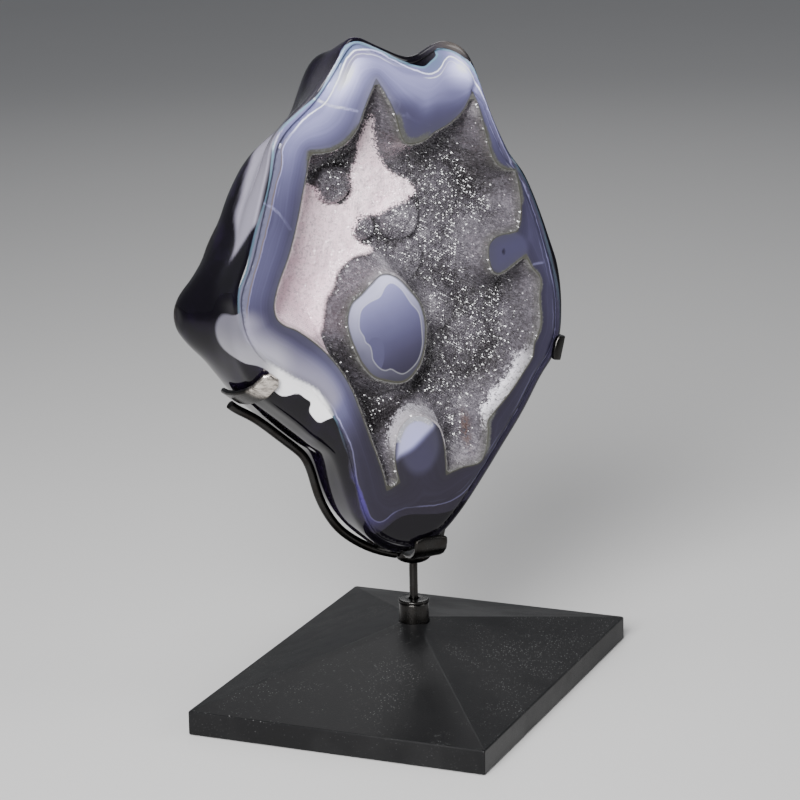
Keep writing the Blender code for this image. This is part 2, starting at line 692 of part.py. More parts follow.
def add_tongue(group, parent, surface):
    """The wide bar that lies on the hub, runs forwards under the stone and turns up over the face's edge."""
    floor = HUB_TOP + GAP + FINGER_THICKNESS
    front = -FACE_Y + GAP
    path = [Vector((forwards * MM, floor + rise * MM)) for forwards, rise in TONGUE_BENDS]
    path += [Vector((front, floor + TONGUE_LIP_FOOT)), Vector((front, TONGUE_LIP_TOP))]

    def place(point, across):
        drift = min(max(point.x / front, 0), 1)
        return Vector((TONGUE_LIP_ACROSS * drift + across, -point.x, point.y))

    add_strip("front_tongue", path, place, TONGUE_WIDTH / 2, TONGUE_TIP_ROUND, group, parent, surface)


def main():
    for old in list(bpy.data.objects):
        bpy.data.objects.remove(old)
    group = collection(NAME)
    cutters = collection("cutters")
    base_turn = add_object("base_turn", None, group, None, None)
    base_turn.rotation_euler.z = BASE_TURN
    cradle_axis = add_object("cradle_axis", None, group, None, None)

    black = material("black_painted_steel", (0.02, 0.02, 0.021), 0.55, 0.3)
    bare = material("dark_polished_steel", (0.12, 0.12, 0.13), 0.25, 1.0)
    chalcedony = material("polished_chalcedony", (0.42, 0.45, 0.62), 0.12)
    quartz = material("quartz_crystals", (0.6, 0.58, 0.6), 0.3, transmission=0.3)

    add_base(group, cutters, base_turn, black)
    add_collar(group, base_turn, bare)
    add_post(group, cradle_axis, bare)
    add_hub(group, cradle_axis, bare)
    lining, crust_edge, skirt, edges, skin = add_geode(group, cradle_axis, chalcedony)
    add_crust(lining, crust_edge, skirt, edges, group, cradle_axis, quartz)
    sides = (("left", LEFT_FINGER, LEFT_ARM_PATH, -1), ("right", RIGHT_FINGER, RIGHT_ARM_PATH, 1))
    for side, finger, path, turn in sides:
        rear, aside, inward = add_finger(side + "_claw", skin, finger, group, cradle_axis, bare)
        add_arm(side + "_arm", skin, path, rear, aside * turn, -inward, group, cradle_axis, bare)
    add_tongue(group, cradle_axis, bare)


main()
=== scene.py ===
"""The finished look of an agate geode on its turning stand.

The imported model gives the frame: every piece here sits where a node of it sits, in metres, +Z up. The geode's
polished face looks towards -Y. Outlines on that face are (across, height) pairs in millimetres.
"""

import logging
import math
from dataclasses import dataclass, field
from enum import Enum
from typing import Any, Callable, Sequence

import bmesh
import bpy
import numpy as np
from mathutils import Matrix, Vector, noise
from mathutils.geometry import delaunay_2d_cdt
from mathutils.kdtree import KDTree


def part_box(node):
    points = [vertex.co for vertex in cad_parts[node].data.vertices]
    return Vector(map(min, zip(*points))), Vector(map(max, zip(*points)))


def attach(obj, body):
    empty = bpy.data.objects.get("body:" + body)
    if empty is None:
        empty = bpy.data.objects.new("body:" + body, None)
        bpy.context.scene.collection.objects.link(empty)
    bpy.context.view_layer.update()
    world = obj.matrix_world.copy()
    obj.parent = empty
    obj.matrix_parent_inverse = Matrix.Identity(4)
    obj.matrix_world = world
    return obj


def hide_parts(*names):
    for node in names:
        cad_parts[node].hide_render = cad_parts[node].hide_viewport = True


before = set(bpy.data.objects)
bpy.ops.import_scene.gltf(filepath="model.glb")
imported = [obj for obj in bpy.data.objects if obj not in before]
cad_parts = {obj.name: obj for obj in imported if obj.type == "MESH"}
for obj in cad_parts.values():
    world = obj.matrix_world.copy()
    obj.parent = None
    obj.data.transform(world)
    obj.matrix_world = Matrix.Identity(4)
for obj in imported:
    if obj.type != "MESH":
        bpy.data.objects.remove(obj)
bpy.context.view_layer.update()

log = logging.getLogger("agate_on_stand")

MM = 0.001
Pair = tuple[float, float]
Outline = tuple[Pair, ...]
Rise = tuple[float, float, float]
Spot = tuple[float, float, float, float]
Colour = tuple[float, float, float]

QUARTZ_IOR = 1.54

# The part of the face that the grids of points cover, in millimetres
GRID_LEFT, GRID_FOOT = -130, 85
GRID_WIDTH, GRID_HEIGHT = 240, 320


class Body(Enum):
    """The two bodies that turn against each other."""

    BASE = "base"
    CRADLE = "cradle"


class Slot(Enum):
    """The record's material slots."""

    PAINT = "black_painted_steel"
    STEEL = "dark_polished_steel"
    AGATE = "polished_chalcedony"
    CRYSTAL = "quartz_crystals"


# Lines on the stone

# Edge of the hollow: each stretch runs clockwise from one sharp corner to the next
HOLLOW_EDGE: tuple[Outline, ...] = (
    ((-38.5, 368.5), (-33, 360), (-27.5, 349), (-24.5, 338), (-21, 332), (-15, 331), (-8.5, 332.5), (-3, 336),
     (6.5, 340), (15, 346), (19, 352)),
    ((22, 357), (27, 344), (30, 333), (33, 322), (36.5, 315), (42, 311)),
    ((49, 309.5), (51.5, 298.5), (52.5, 289), (52, 280)),
    ((50, 274.5), (44, 274), (37, 273), (32.5, 270), (31, 264.5), (32, 257), (35, 252), (40, 251.5),
     (46, 254.5)),
    ((55.5, 260), (59, 253), (65, 245), (64.5, 234), (65, 218), (61, 208.5), (59.5, 200), (54.5, 193),
     (44.5, 181), (34, 171), (29.5, 166), (29.5, 159), (27.5, 147.5), (23, 142), (12, 141)),
    ((2, 138.5), (1.5, 147), (1, 154), (-0.5, 161), (-3, 167), (-9, 172.5), (-16, 175.5), (-22, 174.5),
     (-27, 170), (-30, 163), (-31, 154), (-30.5, 147)),
    ((-28.5, 138.5),),
    ((-36.5, 135), (-40, 148.5), (-47, 168), (-57, 195), (-65.5, 210), (-77, 223.5), (-90, 234),
     (-98.5, 238.5), (-103, 243.5), (-104, 251), (-101, 262), (-94, 278), (-88.5, 296), (-84, 315)),
    ((-80, 332), (-73, 331.5), (-65, 332.5), (-57, 336.5), (-50.5, 343.5), (-45, 356)),
)

STALACTITE_EDGE: Outline = (
    (-33, 259.5), (-26.5, 256), (-19.5, 248.5), (-13.5, 240.5), (-10.5, 231), (-10, 223), (-11, 214.5),
    (-14.5, 205), (-20.5, 198.5), (-27, 196.5), (-35.5, 198.5), (-43.5, 202), (-50, 209), (-54.5, 218),
    (-58, 227), (-59.5, 236), (-57, 245), (-50.5, 250), (-44, 255.5), (-38.5, 259.5),
)

# The blue core inside the stalactite's pale band, and the paler lobe at its lower left
STALACTITE_CORE: Outline = (
    (-31.7, 254.3), (-25.5, 250.1), (-19.6, 241.4), (-14.3, 234.7), (-12.6, 223.8), (-12.7, 215.2),
    (-16.1, 207), (-23.5, 201.6), (-28, 202.2), (-32.7, 205.2), (-36, 204.6), (-40, 206.6), (-44, 211.8),
    (-44.6, 216), (-45.7, 220.1), (-48.5, 222.5), (-49.3, 225.7), (-51.5, 229), (-52.3, 232.9),
    (-50.9, 240.7), (-45.8, 244.6), (-39.4, 246.7), (-37.5, 248.5), (-35.6, 251.9),
)
CORE_LOBE: Outline = ((-46, 223), (-40, 224), (-37, 219), (-37, 211), (-40, 205.5), (-47, 209))

# The thin line that parts the dark skin from the banded rim, closed round the face
SKIN_LINE: Outline = (
    (-49.4, 115), (-54.1, 127.4), (-57.3, 142.5), (-62.6, 145.6), (-60.3, 150), (-60.3, 157.9),
    (-63.1, 165.5), (-68.6, 180.8), (-78.8, 198), (-96, 209.5), (-112, 221.5), (-123.1, 232),
    (-125.1, 243.3), (-125.6, 253.9), (-124.4, 262.4), (-119.9, 272.5), (-113.5, 293.6), (-107.8, 309),
    (-104.8, 319.9), (-102.1, 335.7), (-101.5, 342.2), (-96.8, 347), (-84.3, 356.2), (-74, 363.5),
    (-67.8, 372), (-61, 381.7), (-57, 388), (-51.3, 390.2), (-45.6, 389), (-33.2, 383.2), (-23.3, 377.8),
    (-10.1, 373.1), (-4.6, 375.6), (-0.6, 379), (-2.1, 382), (4, 382), (12, 379), (18, 375), (23, 369.5),
    (31.3, 353.5), (39.2, 334.8), (48.1, 316.2), (57.2, 301.5), (64.3, 284.3), (70.4, 265.7), (75, 248.7),
    (78, 233.8), (78.5, 214), (74.5, 201), (65, 187.5), (53, 168.5), (39, 150), (27.5, 135), (17, 123),
    (8.4, 117.8), (0.2, 116), (-12, 117), (-22.1, 118.5), (-30.2, 117.3), (-38, 113), (-44, 110.5),
)

# The white line inside it
WHITE_LINE: Outline = (
    (-46.5, 119.8), (-50.1, 129.1), (-54.8, 142.6), (-56.6, 153.8), (-59, 164.9), (-66.3, 181),
    (-74.5, 194.8), (-94, 210.5), (-110, 223), (-119.2, 233), (-119.7, 239.1), (-120.4, 249.7),
    (-117.9, 261.5), (-113.8, 273.5), (-109.4, 286.6), (-105.1, 300.7), (-102, 313), (-97.3, 327.8),
    (-96.9, 336.1), (-91.1, 343.6), (-80.6, 352.3), (-70.1, 358.5), (-62.8, 368.9), (-58.2, 378.1),
    (-55.2, 382.4), (-50.4, 385.4), (-39, 384.3), (-27.5, 378.2), (-17.9, 373.1), (-6.3, 368.8),
    (0.2, 370), (4.2, 375.2), (8.7, 377), (15.5, 372.9), (21, 367), (29.3, 351.5), (37.2, 333.2),
    (46, 315), (55.2, 299.8), (61.8, 283.3), (67.4, 265), (72, 248), (75, 233.8), (75.5, 215),
    (71.5, 203), (62, 189.5), (50.5, 171), (36.5, 153), (25, 138), (15, 127.5), (5, 122.5), (-8, 121.5),
    (-22.1, 122.8), (-32, 121.3), (-40, 117),
)

# The white line on the right peak
PEAK_LINE: Outline = (
    (1.3, 376.8), (4.7, 379.1), (9.7, 379), (17.5, 374.6), (22.5, 371.9), (17.5, 370.6), (11.5, 371.6),
    (7.6, 376.3),
)

# The darker tip of the top lobe, and the white wisps and healed cracks in the face
LOBE_TIP: Outline = (
    (-26, 352), (-22.4, 342.6), (-24.5, 332), (-16.7, 329), (-6.9, 330.4), (1.1, 333.2), (9.1, 340.6),
    (1, 347.5), (-8, 345.5), (-16, 351),
)
WISPS: tuple[Outline, ...] = (
    ((-31.8, 358.2), (-24.1, 354.5), (-26.2, 349), (-21.3, 346.9), (-14.5, 343.6), (-5.7, 340.2)),
    ((-20.3, 348.5), (-16.5, 344.7), (-11.6, 341.6)),
    ((-116.7, 310.9), (-107.5, 307.3), (-99.2, 300.4), (-92.9, 291.1)),
    ((-82.2, 366.9), (-79.5, 363.3), (-72, 359.2), (-66.4, 356.5), (-58.8, 354.6), (-50.3, 352.1)),
    ((60.5, 254), (67, 254.5)),
)

# The milky half of the bottom lobe's cut end, and the smoky patch at the bottom of the rim
MILKY_LOBE: Outline = (
    (-31.4, 149.8), (-32, 157.2), (-30, 166.6), (-24.5, 174.4), (-12.9, 176), (-5.7, 171.7), (-4, 167.4),
    (-10.5, 161.5), (-18.6, 155.4), (-25.9, 152.4),
)
SMOKY_PATCH: Outline = (
    (-35.4, 110.8), (-30.3, 115.5), (-16.1, 115.1), (-6, 111.6), (-10, 104), (-24.5, 102), (-34.5, 105),
)

# A painted reflection: the pale patch that crosses the rim on the lower left
REFLECTION_PATCH: Outline = (
    (-127.5, 246), (-129, 238), (-128, 230), (-125, 223), (-120, 218.5), (-113, 216.5), (-107, 212),
    (-105.5, 204), (-100, 198), (-95, 196.5), (-91, 199), (-86, 195), (-82.5, 192), (-83, 187.5),
    (-80.5, 183), (-76.5, 179), (-73, 180.5), (-66, 185), (-61, 194), (-65, 206), (-75, 220), (-88, 233),
    (-100, 243), (-112, 249), (-119, 251), (-125, 249),
)

# The sparkling fringe over the bottom lobe
FRINGE: Outline = (
    (-32.5, 158), (-31.5, 168), (-27.5, 175), (-22, 178.5), (-15.5, 180), (-8, 178.5), (-2, 175),
    (1.5, 170), (-2.5, 166), (-9, 171.5), (-16, 174.5), (-22, 173.5), (-27, 169), (-30, 160),
)

# The white and rose-tinted crystals on the left, and the snowy ones along the lower right wall
WHITE_CRYSTALS: Outline = (
    (-34.5, 346), (-37.5, 333), (-41, 321), (-43, 313), (-44, 303), (-49, 297), (-60, 298), (-64, 303),
    (-66, 308), (-71, 309.5), (-84, 313), (-97, 290), (-112, 250), (-100, 226), (-78, 216), (-70, 222),
    (-67.5, 229), (-67, 237), (-65, 246), (-60, 253), (-55, 260), (-50, 264.5), (-44, 268), (-36, 269),
    (-33, 271), (-39, 273.5), (-43, 279), (-42.5, 284), (-39, 289), (-33, 290), (-29, 289), (-24, 292),
    (-16, 295), (-7, 296), (-3, 300), (-8, 305), (-17, 310.5), (-23, 317), (-29, 326), (-31.5, 333),
    (-33, 341),
)
SNOWY_WALL: Outline = (
    (67, 226), (66, 216), (62, 205), (56, 194), (46, 182), (35, 171.5), (31, 166), (30, 162), (28, 163),
    (28, 168), (31.5, 173.5), (37, 179), (43, 185), (48.5, 191), (54, 199.5), (59.5, 208), (63, 217),
    (65, 226),
)

# Where the grey skirt under the stalactite meets the white crystals, and the crease at its other side;
# both carry a painted shadow on the crystals
SKIRT_LINE: Outline = (
    (-72, 222), (-67.5, 229), (-67, 237), (-65, 246), (-60, 253), (-55, 260), (-50, 264.5), (-44, 268),
    (-36, 269),
)
CREASE: Outline = ((5, 205), (2, 195), (-6, 186), (-20, 182), (-30, 176), (-37, 169))


def smooth_through(points: Sequence[Pair], closed: bool, per_span: int = 8) -> np.ndarray:
    """A Catmull-Rom curve.

    Args:
        points: the points that it passes through.
        closed: whether it comes back to its first point.
        per_span: how many steps it takes from one point to the next.

    Returns:
        The curve's points, one row each.
    """
    knots = np.array(points, float)
    count = len(knots)
    spans = count if closed else count - 1
    index = np.arange(spans)[:, None] + np.array([-1, 0, 1, 2])
    index = index % count if closed else np.clip(index, 0, count - 1)
    t = np.arange(per_span) / per_span
    weights = np.stack([-t + 2 * t**2 - t**3, 2 - 5 * t**2 + 3 * t**3, t + 4 * t**2 - 3 * t**3,
                        -(t**2) + t**3])
    curve = np.einsum("skc,kt->stc", knots[index], weights / 2).reshape(-1, 2)
    return curve if closed else np.vstack([curve, knots[-1:]])


def spaced(line: np.ndarray, step: float) -> np.ndarray:
    """The open line cut into equal steps.

    Args:
        line: its points.
        step: the length aimed at.

    Returns:
        The new points, without the line's last one.
    """
    lengths = np.concatenate([[0], np.cumsum(np.linalg.norm(np.diff(line, axis=0), axis=1))])
    count = max(1, round(lengths[-1] / step))
    targets = lengths[-1] * np.arange(count) / count
    return np.stack([np.interp(targets, lengths, line[:, k]) for k in range(2)], axis=1)


def closed_line(points: Sequence[Pair], step: float) -> np.ndarray:
    """The smooth closed line through the points, in equal steps."""
    line = smooth_through(points, closed=True)
    return spaced(np.vstack([line, line[:1]]), step)


def hollow_line(step: float) -> np.ndarray:
    """The hollow's edge in equal steps, with its sharp corners kept."""
    stretches = []
    for i, stretch in enumerate(HOLLOW_EDGE):
        corner = HOLLOW_EDGE[(i + 1) % len(HOLLOW_EDGE)][0]
        stretches.append(spaced(smooth_through((*stretch, corner), closed=False), step))
    return np.vstack(stretches)


def distance_to(points: np.ndarray, line: np.ndarray, closed: bool = True) -> np.ndarray:
    """The shortest way from each point to a line.

    Args:
        points: one row for each point.
        line: the line's points.
        closed: whether the line comes back to its first point.

    Returns:
        One length for each point.
    """
    tree = KDTree(len(line))
    for i, (across, height) in enumerate(line):
        tree.insert((across, height, 0), i)
    tree.balance()
    nearest = np.array([tree.find((across, height, 0))[1] for across, height in points])
    found = np.full(len(points), np.inf)
    for neighbour in (nearest - 1, nearest + 1):
        neighbour = neighbour % len(line) if closed else np.clip(neighbour, 0, len(line) - 1)
        run = line[neighbour] - line[nearest]
        offset = points - line[nearest]
        share = np.clip((offset * run).sum(1) / np.maximum((run**2).sum(1), 1e-12), 0, 1)
        found = np.minimum(found, np.linalg.norm(offset - share[:, None] * run, axis=1))
    return found


def within(points: np.ndarray, line: np.ndarray) -> np.ndarray:
    """Which of the points lie inside the closed line."""
    following = np.roll(line, -1, axis=0)
    inside = np.zeros(len(points), bool)
    for (ax, ay), (bx, by) in zip(line, following):
        if ay == by:
            continue
        crosses = (ay > points[:, 1]) != (by > points[:, 1])
        inside ^= crosses & (points[:, 0] < ax + (points[:, 1] - ay) / (by - ay) * (bx - ax))
    return inside


def depth_inside(points: np.ndarray, line: np.ndarray) -> np.ndarray:
    """How far inside the closed line each point lies; outside it the length is negative."""
    return distance_to(points, line) * np.where(within(points, line), 1, -1)


def eased(values: np.ndarray, low: float, high: float) -> np.ndarray:
    """Each value's place between two limits, from 0 to 1, with soft ends."""
    share = np.clip((values - low) / (high - low), 0, 1)
    return share * share * (3 - 2 * share)


def near(places: np.ndarray, middle: Pair, reach: float, full: float = 0.0,
         stretch: Pair = (1, 1)) -> np.ndarray:
    """How near each place is to a middle.

    Args:
        places: one row for each place.
        middle: what they are near to.
        reach: how far from the middle the value has fallen to 0.
        full: how far from the middle it is still 1.
        stretch: what both directions are multiplied by first.

    Returns:
        A value from 0 to 1 for each place.
    """
    return eased(-np.linalg.norm((places - middle) * stretch, axis=1), -reach, -full)


def rough(points: np.ndarray, size: float, layer: float = 0.0) -> np.ndarray:
    """Smooth noise at the points, about -1 to 1, with lumps of about the size given."""
    return np.array([noise.noise(Vector((x / size, y / size, layer))) for x, y in points])


# Shader maths


class Value:
    """A number or colour that varies over a surface: a socket that takes part in sums."""

    def __init__(self, surface: "Surface", socket: bpy.types.NodeSocket) -> None:
        """Keeps the socket with the surface it belongs to."""
        self.surface = surface
        self.socket = socket

    def math(self, operation: str, *operands: "Value | float") -> "Value":
        """A Math node on the operands."""
        return self.surface.node("ShaderNodeMath", {"operation": operation}, dict(enumerate(operands)))

    def __add__(self, other: "Value | float") -> "Value":
        """The sum."""
        return self.math("ADD", self, other)

    def __radd__(self, other: float) -> "Value":
        """The sum, with the number first."""
        return self.math("ADD", other, self)

    def __sub__(self, other: "Value | float") -> "Value":
        """The difference."""
        return self.math("SUBTRACT", self, other)

    def __rsub__(self, other: float) -> "Value":
        """The difference, with the number first."""
        return self.math("SUBTRACT", other, self)

    def __mul__(self, other: "Value | float") -> "Value":
        """The product."""
        return self.math("MULTIPLY", self, other)

    def __rmul__(self, other: float) -> "Value":
        """The product, with the number first."""
        return self.math("MULTIPLY", other, self)

    def __truediv__(self, other: "Value | float") -> "Value":
        """The quotient."""
        return self.math("DIVIDE", self, other)

    def __pow__(self, other: float) -> "Value":
        """The power."""
        return self.math("POWER", self, other)

    def __abs__(self) -> "Value":
        """The size without its sign."""
        return self.math("ABSOLUTE", self)

    def clamped(self) -> "Value":
        """The number kept between 0 and 1."""
        return self.surface.node("ShaderNodeClamp", inputs={0: self})

    def eased(self, low: float, high: float) -> "Value":
        """Its place between two limits, from 0 to 1, with soft ends."""
        settings = {"interpolation_type": "SMOOTHSTEP"}
        limits = {"Value": self, "From Min": low, "From Max": high}
        return self.surface.node("ShaderNodeMapRange", settings, limits)

    def line(self, width: float, softness: float) -> "Value":
        """1 where the number is near 0, falling to 0 past the width."""
        return 1 - abs(self).eased(width, width + softness)


class Surface:
    """A material whose nodes are added one by one."""

    def __init__(self, name: str) -> None:
        """Starts a material with its Principled BSDF."""
        self.material = bpy.data.materials.new(name)
        self.material.use_nodes = True
        self.shader = self.material.node_tree.nodes["Principled BSDF"]

    def node(self, kind: str, settings: dict[str, Any] | None = None, inputs: dict[Any, Any] | None = None,
             output: int | str = 0) -> Value:
        """Adds a node.

        Args:
            kind: the node's type.
            settings: its properties, set first; "stops" fills a colour ramp.
            inputs: a value or a link for each socket named.
            output: the socket that the result is read from.

        Returns:
            The node's output.
        """
        made = self.material.node_tree.nodes.new(kind)
        for name, value in (settings or {}).items():
            if name == "stops":
                self._fill_ramp(made.color_ramp, value)
            else:
                setattr(made, name, value)
        for name, value in (inputs or {}).items():
            self._feed(made.inputs[name], value)
        return Value(self, made.outputs[output])

    def _feed(self, socket: bpy.types.NodeSocket, value: Any) -> None:
        """Links or sets one input socket."""
        if isinstance(value, Value):
            self.material.node_tree.links.new(value.socket, socket)
        elif socket.type == "RGBA":
            socket.default_value = (*value, 1)
        else:
            socket.default_value = value

    def _fill_ramp(self, ramp: bpy.types.ColorRamp, stops: Sequence[tuple[float, Colour]]) -> None:
        """Sets a colour ramp's stops."""
        while len(ramp.elements) < len(stops):
            ramp.elements.new(1)
        for element, (place, colour) in zip(ramp.elements, stops):
            element.position = place
            element.color = (*colour, 1)

    def place(self) -> Value:
        """The point's own place on the object."""
        return self.node("ShaderNodeTexCoord", output="Object")

    def along(self, axis: int) -> Value:
        """How far the point lies along one axis of the object, in metres."""
        return self.node("ShaderNodeSeparateXYZ", inputs={0: self.place()}, output=axis)

    def attribute(self, name: str) -> Value:
        """A number kept on the mesh's points."""
        return self.node("ShaderNodeAttribute", {"attribute_name": name}, output="Fac")

    def noise(self, scale: float, detail: float = 3.0, roughness: float = 0.5, distortion: float = 0.0,
              stretch: tuple[float, float, float] = (1, 1, 1)) -> Value:
        """Cloudy noise, 0 to 1, that may be stretched along an axis."""
        where = self.node("ShaderNodeMapping", inputs={"Vector": self.place(), "Scale": stretch})
        inputs = {"Vector": where, "Scale": scale, "Detail": detail, "Roughness": roughness,
                  "Distortion": distortion}
        return self.node("ShaderNodeTexNoise", inputs=inputs)

    def cells(self, scale: float, output: str = "Color") -> Value:
        """A random value for each small cell."""
        inputs = {"Vector": self.place(), "Scale": scale}
        return self.node("ShaderNodeTexVoronoi", inputs=inputs, output=output)

    def ramp(self, factor: Value, stops: Sequence[tuple[float, Colour]]) -> Value:
        """A colour ramp over the factor."""
        return self.node("ShaderNodeValToRGB", {"stops": stops}, {0: factor})

    def levels(self, factor: Value, stops: Sequence[Pair]) -> Value:
        """A number that follows the stops over the factor."""
        return self.ramp(factor, [(place, (level, level, level)) for place, level in stops])

    def streaks(self, along: Value) -> Value:
        """Noise over one number, 0 to 1, which makes bands."""
        inputs = {"W": along, "Scale": 1, "Detail": 3}
        return self.node("ShaderNodeTexNoise", {"noise_dimensions": "1D"}, inputs)

    def towards(self, value: "Value | float", target: float, share: Value) -> Value:
        """The number moved towards another by a share."""
        return share * (target - value) + value

    def mix(self, factor: "Value | float", first: "Value | Colour", second: "Value | Colour",
            blend: str = "MIX") -> Value:
        """Two colours mixed by the factor."""
        settings = {"data_type": "RGBA", "blend_type": blend}
        return self.node("ShaderNodeMix", settings, {0: factor, 6: first, 7: second}, output=2)

    def bump(self, height: Value, distance: float, strength: float = 1.0) -> Value:
        """Small relief as a normal."""
        inputs = {"Height": height, "Distance": distance, "Strength": strength}
        return self.node("ShaderNodeBump", inputs=inputs, output="Normal")

    def finish(self, inputs: dict[str, Any]) -> bpy.types.Material:
        """Sets or links the shader's own sockets and returns the material."""
        for name, value in inputs.items():
            self._feed(self.shader.inputs[name], value)
        return self.material


# Finishes


@dataclass(frozen=True)
class AgateFinish:
    """Polished chalcedony: one scale from clear and nearly black to milky, with fine lines of other tints."""

    clear: Colour = (0.0118, 0.0098, 0.0165)
    milky: Colour = (0.56, 0.56, 0.92)
    most: float = 1.12
    white: Colour = (0.9, 0.9, 0.93)
    teal: Colour = (0.13, 0.27, 0.33)
    deep_teal: Colour = (0.12, 0.155, 0.26)
    lilac: Colour = (0.16, 0.145, 0.24)
    strip: Colour = (0.105, 0.105, 0.155)
    brown: Colour = (0.11, 0.085, 0.07)
    olive: Colour = (0.046, 0.045, 0.031)
    quartz: Colour = (0.06, 0.06, 0.057)
    frost: Colour = (0.26, 0.26, 0.29)
    violet: Colour = (0.07, 0.045, 0.26)
    skin: Colour = (0.0025, 0.002, 0.0035)
    husk: Colour = (0.06, 0.048, 0.04)
    dark_husk: Colour = (0.014, 0.012, 0.011)
    grain: Colour = (0.1, 0.1, 0.1)
    frosted_grain: Colour = (0.6, 0.6, 0.64)
    smoke: tuple[Colour, Colour] = ((0.022, 0.02, 0.028), (0.05, 0.046, 0.056))
    top_husk: tuple[Colour, Colour] = ((0.06, 0.052, 0.045), (0.17, 0.15, 0.135))
    peak_line: Colour = (0.4, 0.38, 0.36)
    dark_violet: Colour = (0.009, 0.005, 0.018)
    # Colour of the painted reflection on the upper left flank
    flank_reflection: Colour = (0.25, 0.235, 0.295)
    # Colours of the painted reflection across the lower left rim: its grey part outside and inside the skin
    # line, and its white part
    reflection_veil: tuple[Colour, Colour] = ((0.125, 0.12, 0.15), (0.19, 0.18, 0.24))
    patch: Colour = (0.85, 0.84, 0.86)

    def material(self) -> bpy.types.Material:
        """The material, which reads the stone's own attributes."""
        s = Surface("polished_chalcedony")
        cloud = s.noise(22, 3, 0.5)
        milk_and_light = self._rim(s, cloud)
        milk_and_light = self._lobes(s, milk_and_light)
        body = s.ramp(milk_and_light / self.most, self._scale())
        body = s.mix(s.attribute("share").eased(0.72, 1.0) * 0.35, body, self._tone(s, milk_and_light))
        body = self._stalactite(s, body, cloud)
        body = self._lines(s, body, milk_and_light)
        colour = self._outside(s, body, cloud)
        pits = s.noise(900, 2, 0.6)
        rind = s.attribute("depth").eased(52, 68)
        grain = s.noise(240, 5, 0.65)
        return s.finish({
            "Base Color": colour,
            "Roughness": 0.06 + pits.eased(0.5, 0.8) * 0.05 + rind * 0.5,
            "IOR": QUARTZ_IOR,
            "Specular IOR Level": 0.24,
            "Subsurface Weight": 0.15,
            "Subsurface Radius": (1, 1, 1),
            "Subsurface Scale": 0.002,
            "Normal": s.bump((grain + s.noise(60, 4, 0.6) * 1.6) * rind + pits * 0.006, 0.002, 0.7),
        })

    def _scale(self, tint: float = 1.0) -> list[tuple[float, Colour]]:
        """The ramp's stops: each step towards milky is brighter by the same factor, and bluest halfway."""
        stops = []
        for k in range(12):
            milk_and_light = self.most * k / 11
            bulge = math.sin(math.pi * min(milk_and_light, 1)) * tint
            boost = (1, 1 + 0.06 * bulge, 1 + 0.22 * bulge)
            stops.append((k / 11, tuple(min(dark * (light / dark) ** milk_and_light * more, 0.95)
                                        for dark, light, more in zip(self.clear, self.milky, boost))))
        return stops

    def _tone(self, s: Surface, milk_and_light: Value) -> Value:
        """The same brightness without the blue."""
        greys = [(place, (r, r * 0.98, r * 1.06)) for place, (r, _, _) in self._scale()]
        return s.ramp(milk_and_light / self.most, greys)

    def _rim(self, s: Surface, cloud: Value) -> Value:
        """How milky the rim is, with painted light: by place, then across it, then in fine bands along its
        outline.
        """
        milk_and_light, share = s.attribute("milk_and_light"), s.attribute("share")
        across = s.levels(share, [(0.0, 0.42), (0.1, 0.5), (0.22, 0.54), (0.38, 0.57), (0.6, 0.5),
                                  (0.85, 0.42), (1.0, 0.47)]) - 0.5
        bands = s.streaks(share * 11 + cloud * 2.6) - 0.5
        wide = s.streaks(share * 3.2 + cloud * 1.6 + 7) - 0.5
        return milk_and_light + across * (milk_and_light * 1.9 - 0.1) + bands * 0.06 + wide * 0.16 + (cloud - 0.5) * 0.12 - 0.03

    def _lobes(self, s: Surface, milk_and_light: Value) -> Value:
        """The lobes that reach into the hollow."""
        milk_and_light = s.towards(milk_and_light, 0.35, s.attribute("lobe_tip").eased(-9, 6))
        milk_and_light = s.towards(milk_and_light, 0.28, s.attribute("bottom_lobe").eased(-2, 3) * 0.9)
        milk_and_light = s.towards(milk_and_light, 0.9, s.attribute("milky_lobe").eased(-1, 4.5) * 0.92)
        milk_and_light = s.towards(milk_and_light, 0.35, s.attribute("side_eye").eased(-2, 2))
        milk_and_light = milk_and_light - s.attribute("side_mark").eased(2.2, 0.6) * 0.25
        return milk_and_light - s.attribute("smoky_patch").eased(-3, 4) * 0.08

    def _stalactite(self, s: Surface, body: Value, cloud: Value) -> Value:
        """The stalactite's cut end: an olive edge, a pale band, a blue core, both lighter at the top left."""
        inside = s.attribute("stalactite")
        core = s.attribute("core") + (cloud - 0.5) * 1.2
        light = s.attribute("eye_light")
        milk_and_light = light - 0.02 + (s.noise(45, 2, 0.5) - 0.5) * 0.08
        milk_and_light = s.towards(milk_and_light, 0.44, s.attribute("core_lobe").eased(-0.4, 0.4) * 0.7)
        blue = s.ramp(milk_and_light / self.most, self._scale())
        pale = light + 0.14 - core.eased(-1.5, -7) * 0.05 + (cloud - 0.5) * 0.12
        band = s.mix(0.5, s.ramp(pale / self.most, self._scale()), self._tone(s, pale))
        eye = s.mix(core.eased(-0.25, 0.4), band, blue)
        eye = s.mix(core.line(0.1, 0.5) * 0.12, eye, self.white)
        beads = s.noise(140, 3, 0.6)
        eye = s.mix((inside - beads * 1.1).eased(0.8, 0.1) * 0.7, eye, self.olive)
        return s.mix(inside.eased(-0.2, 0.2), body, eye)

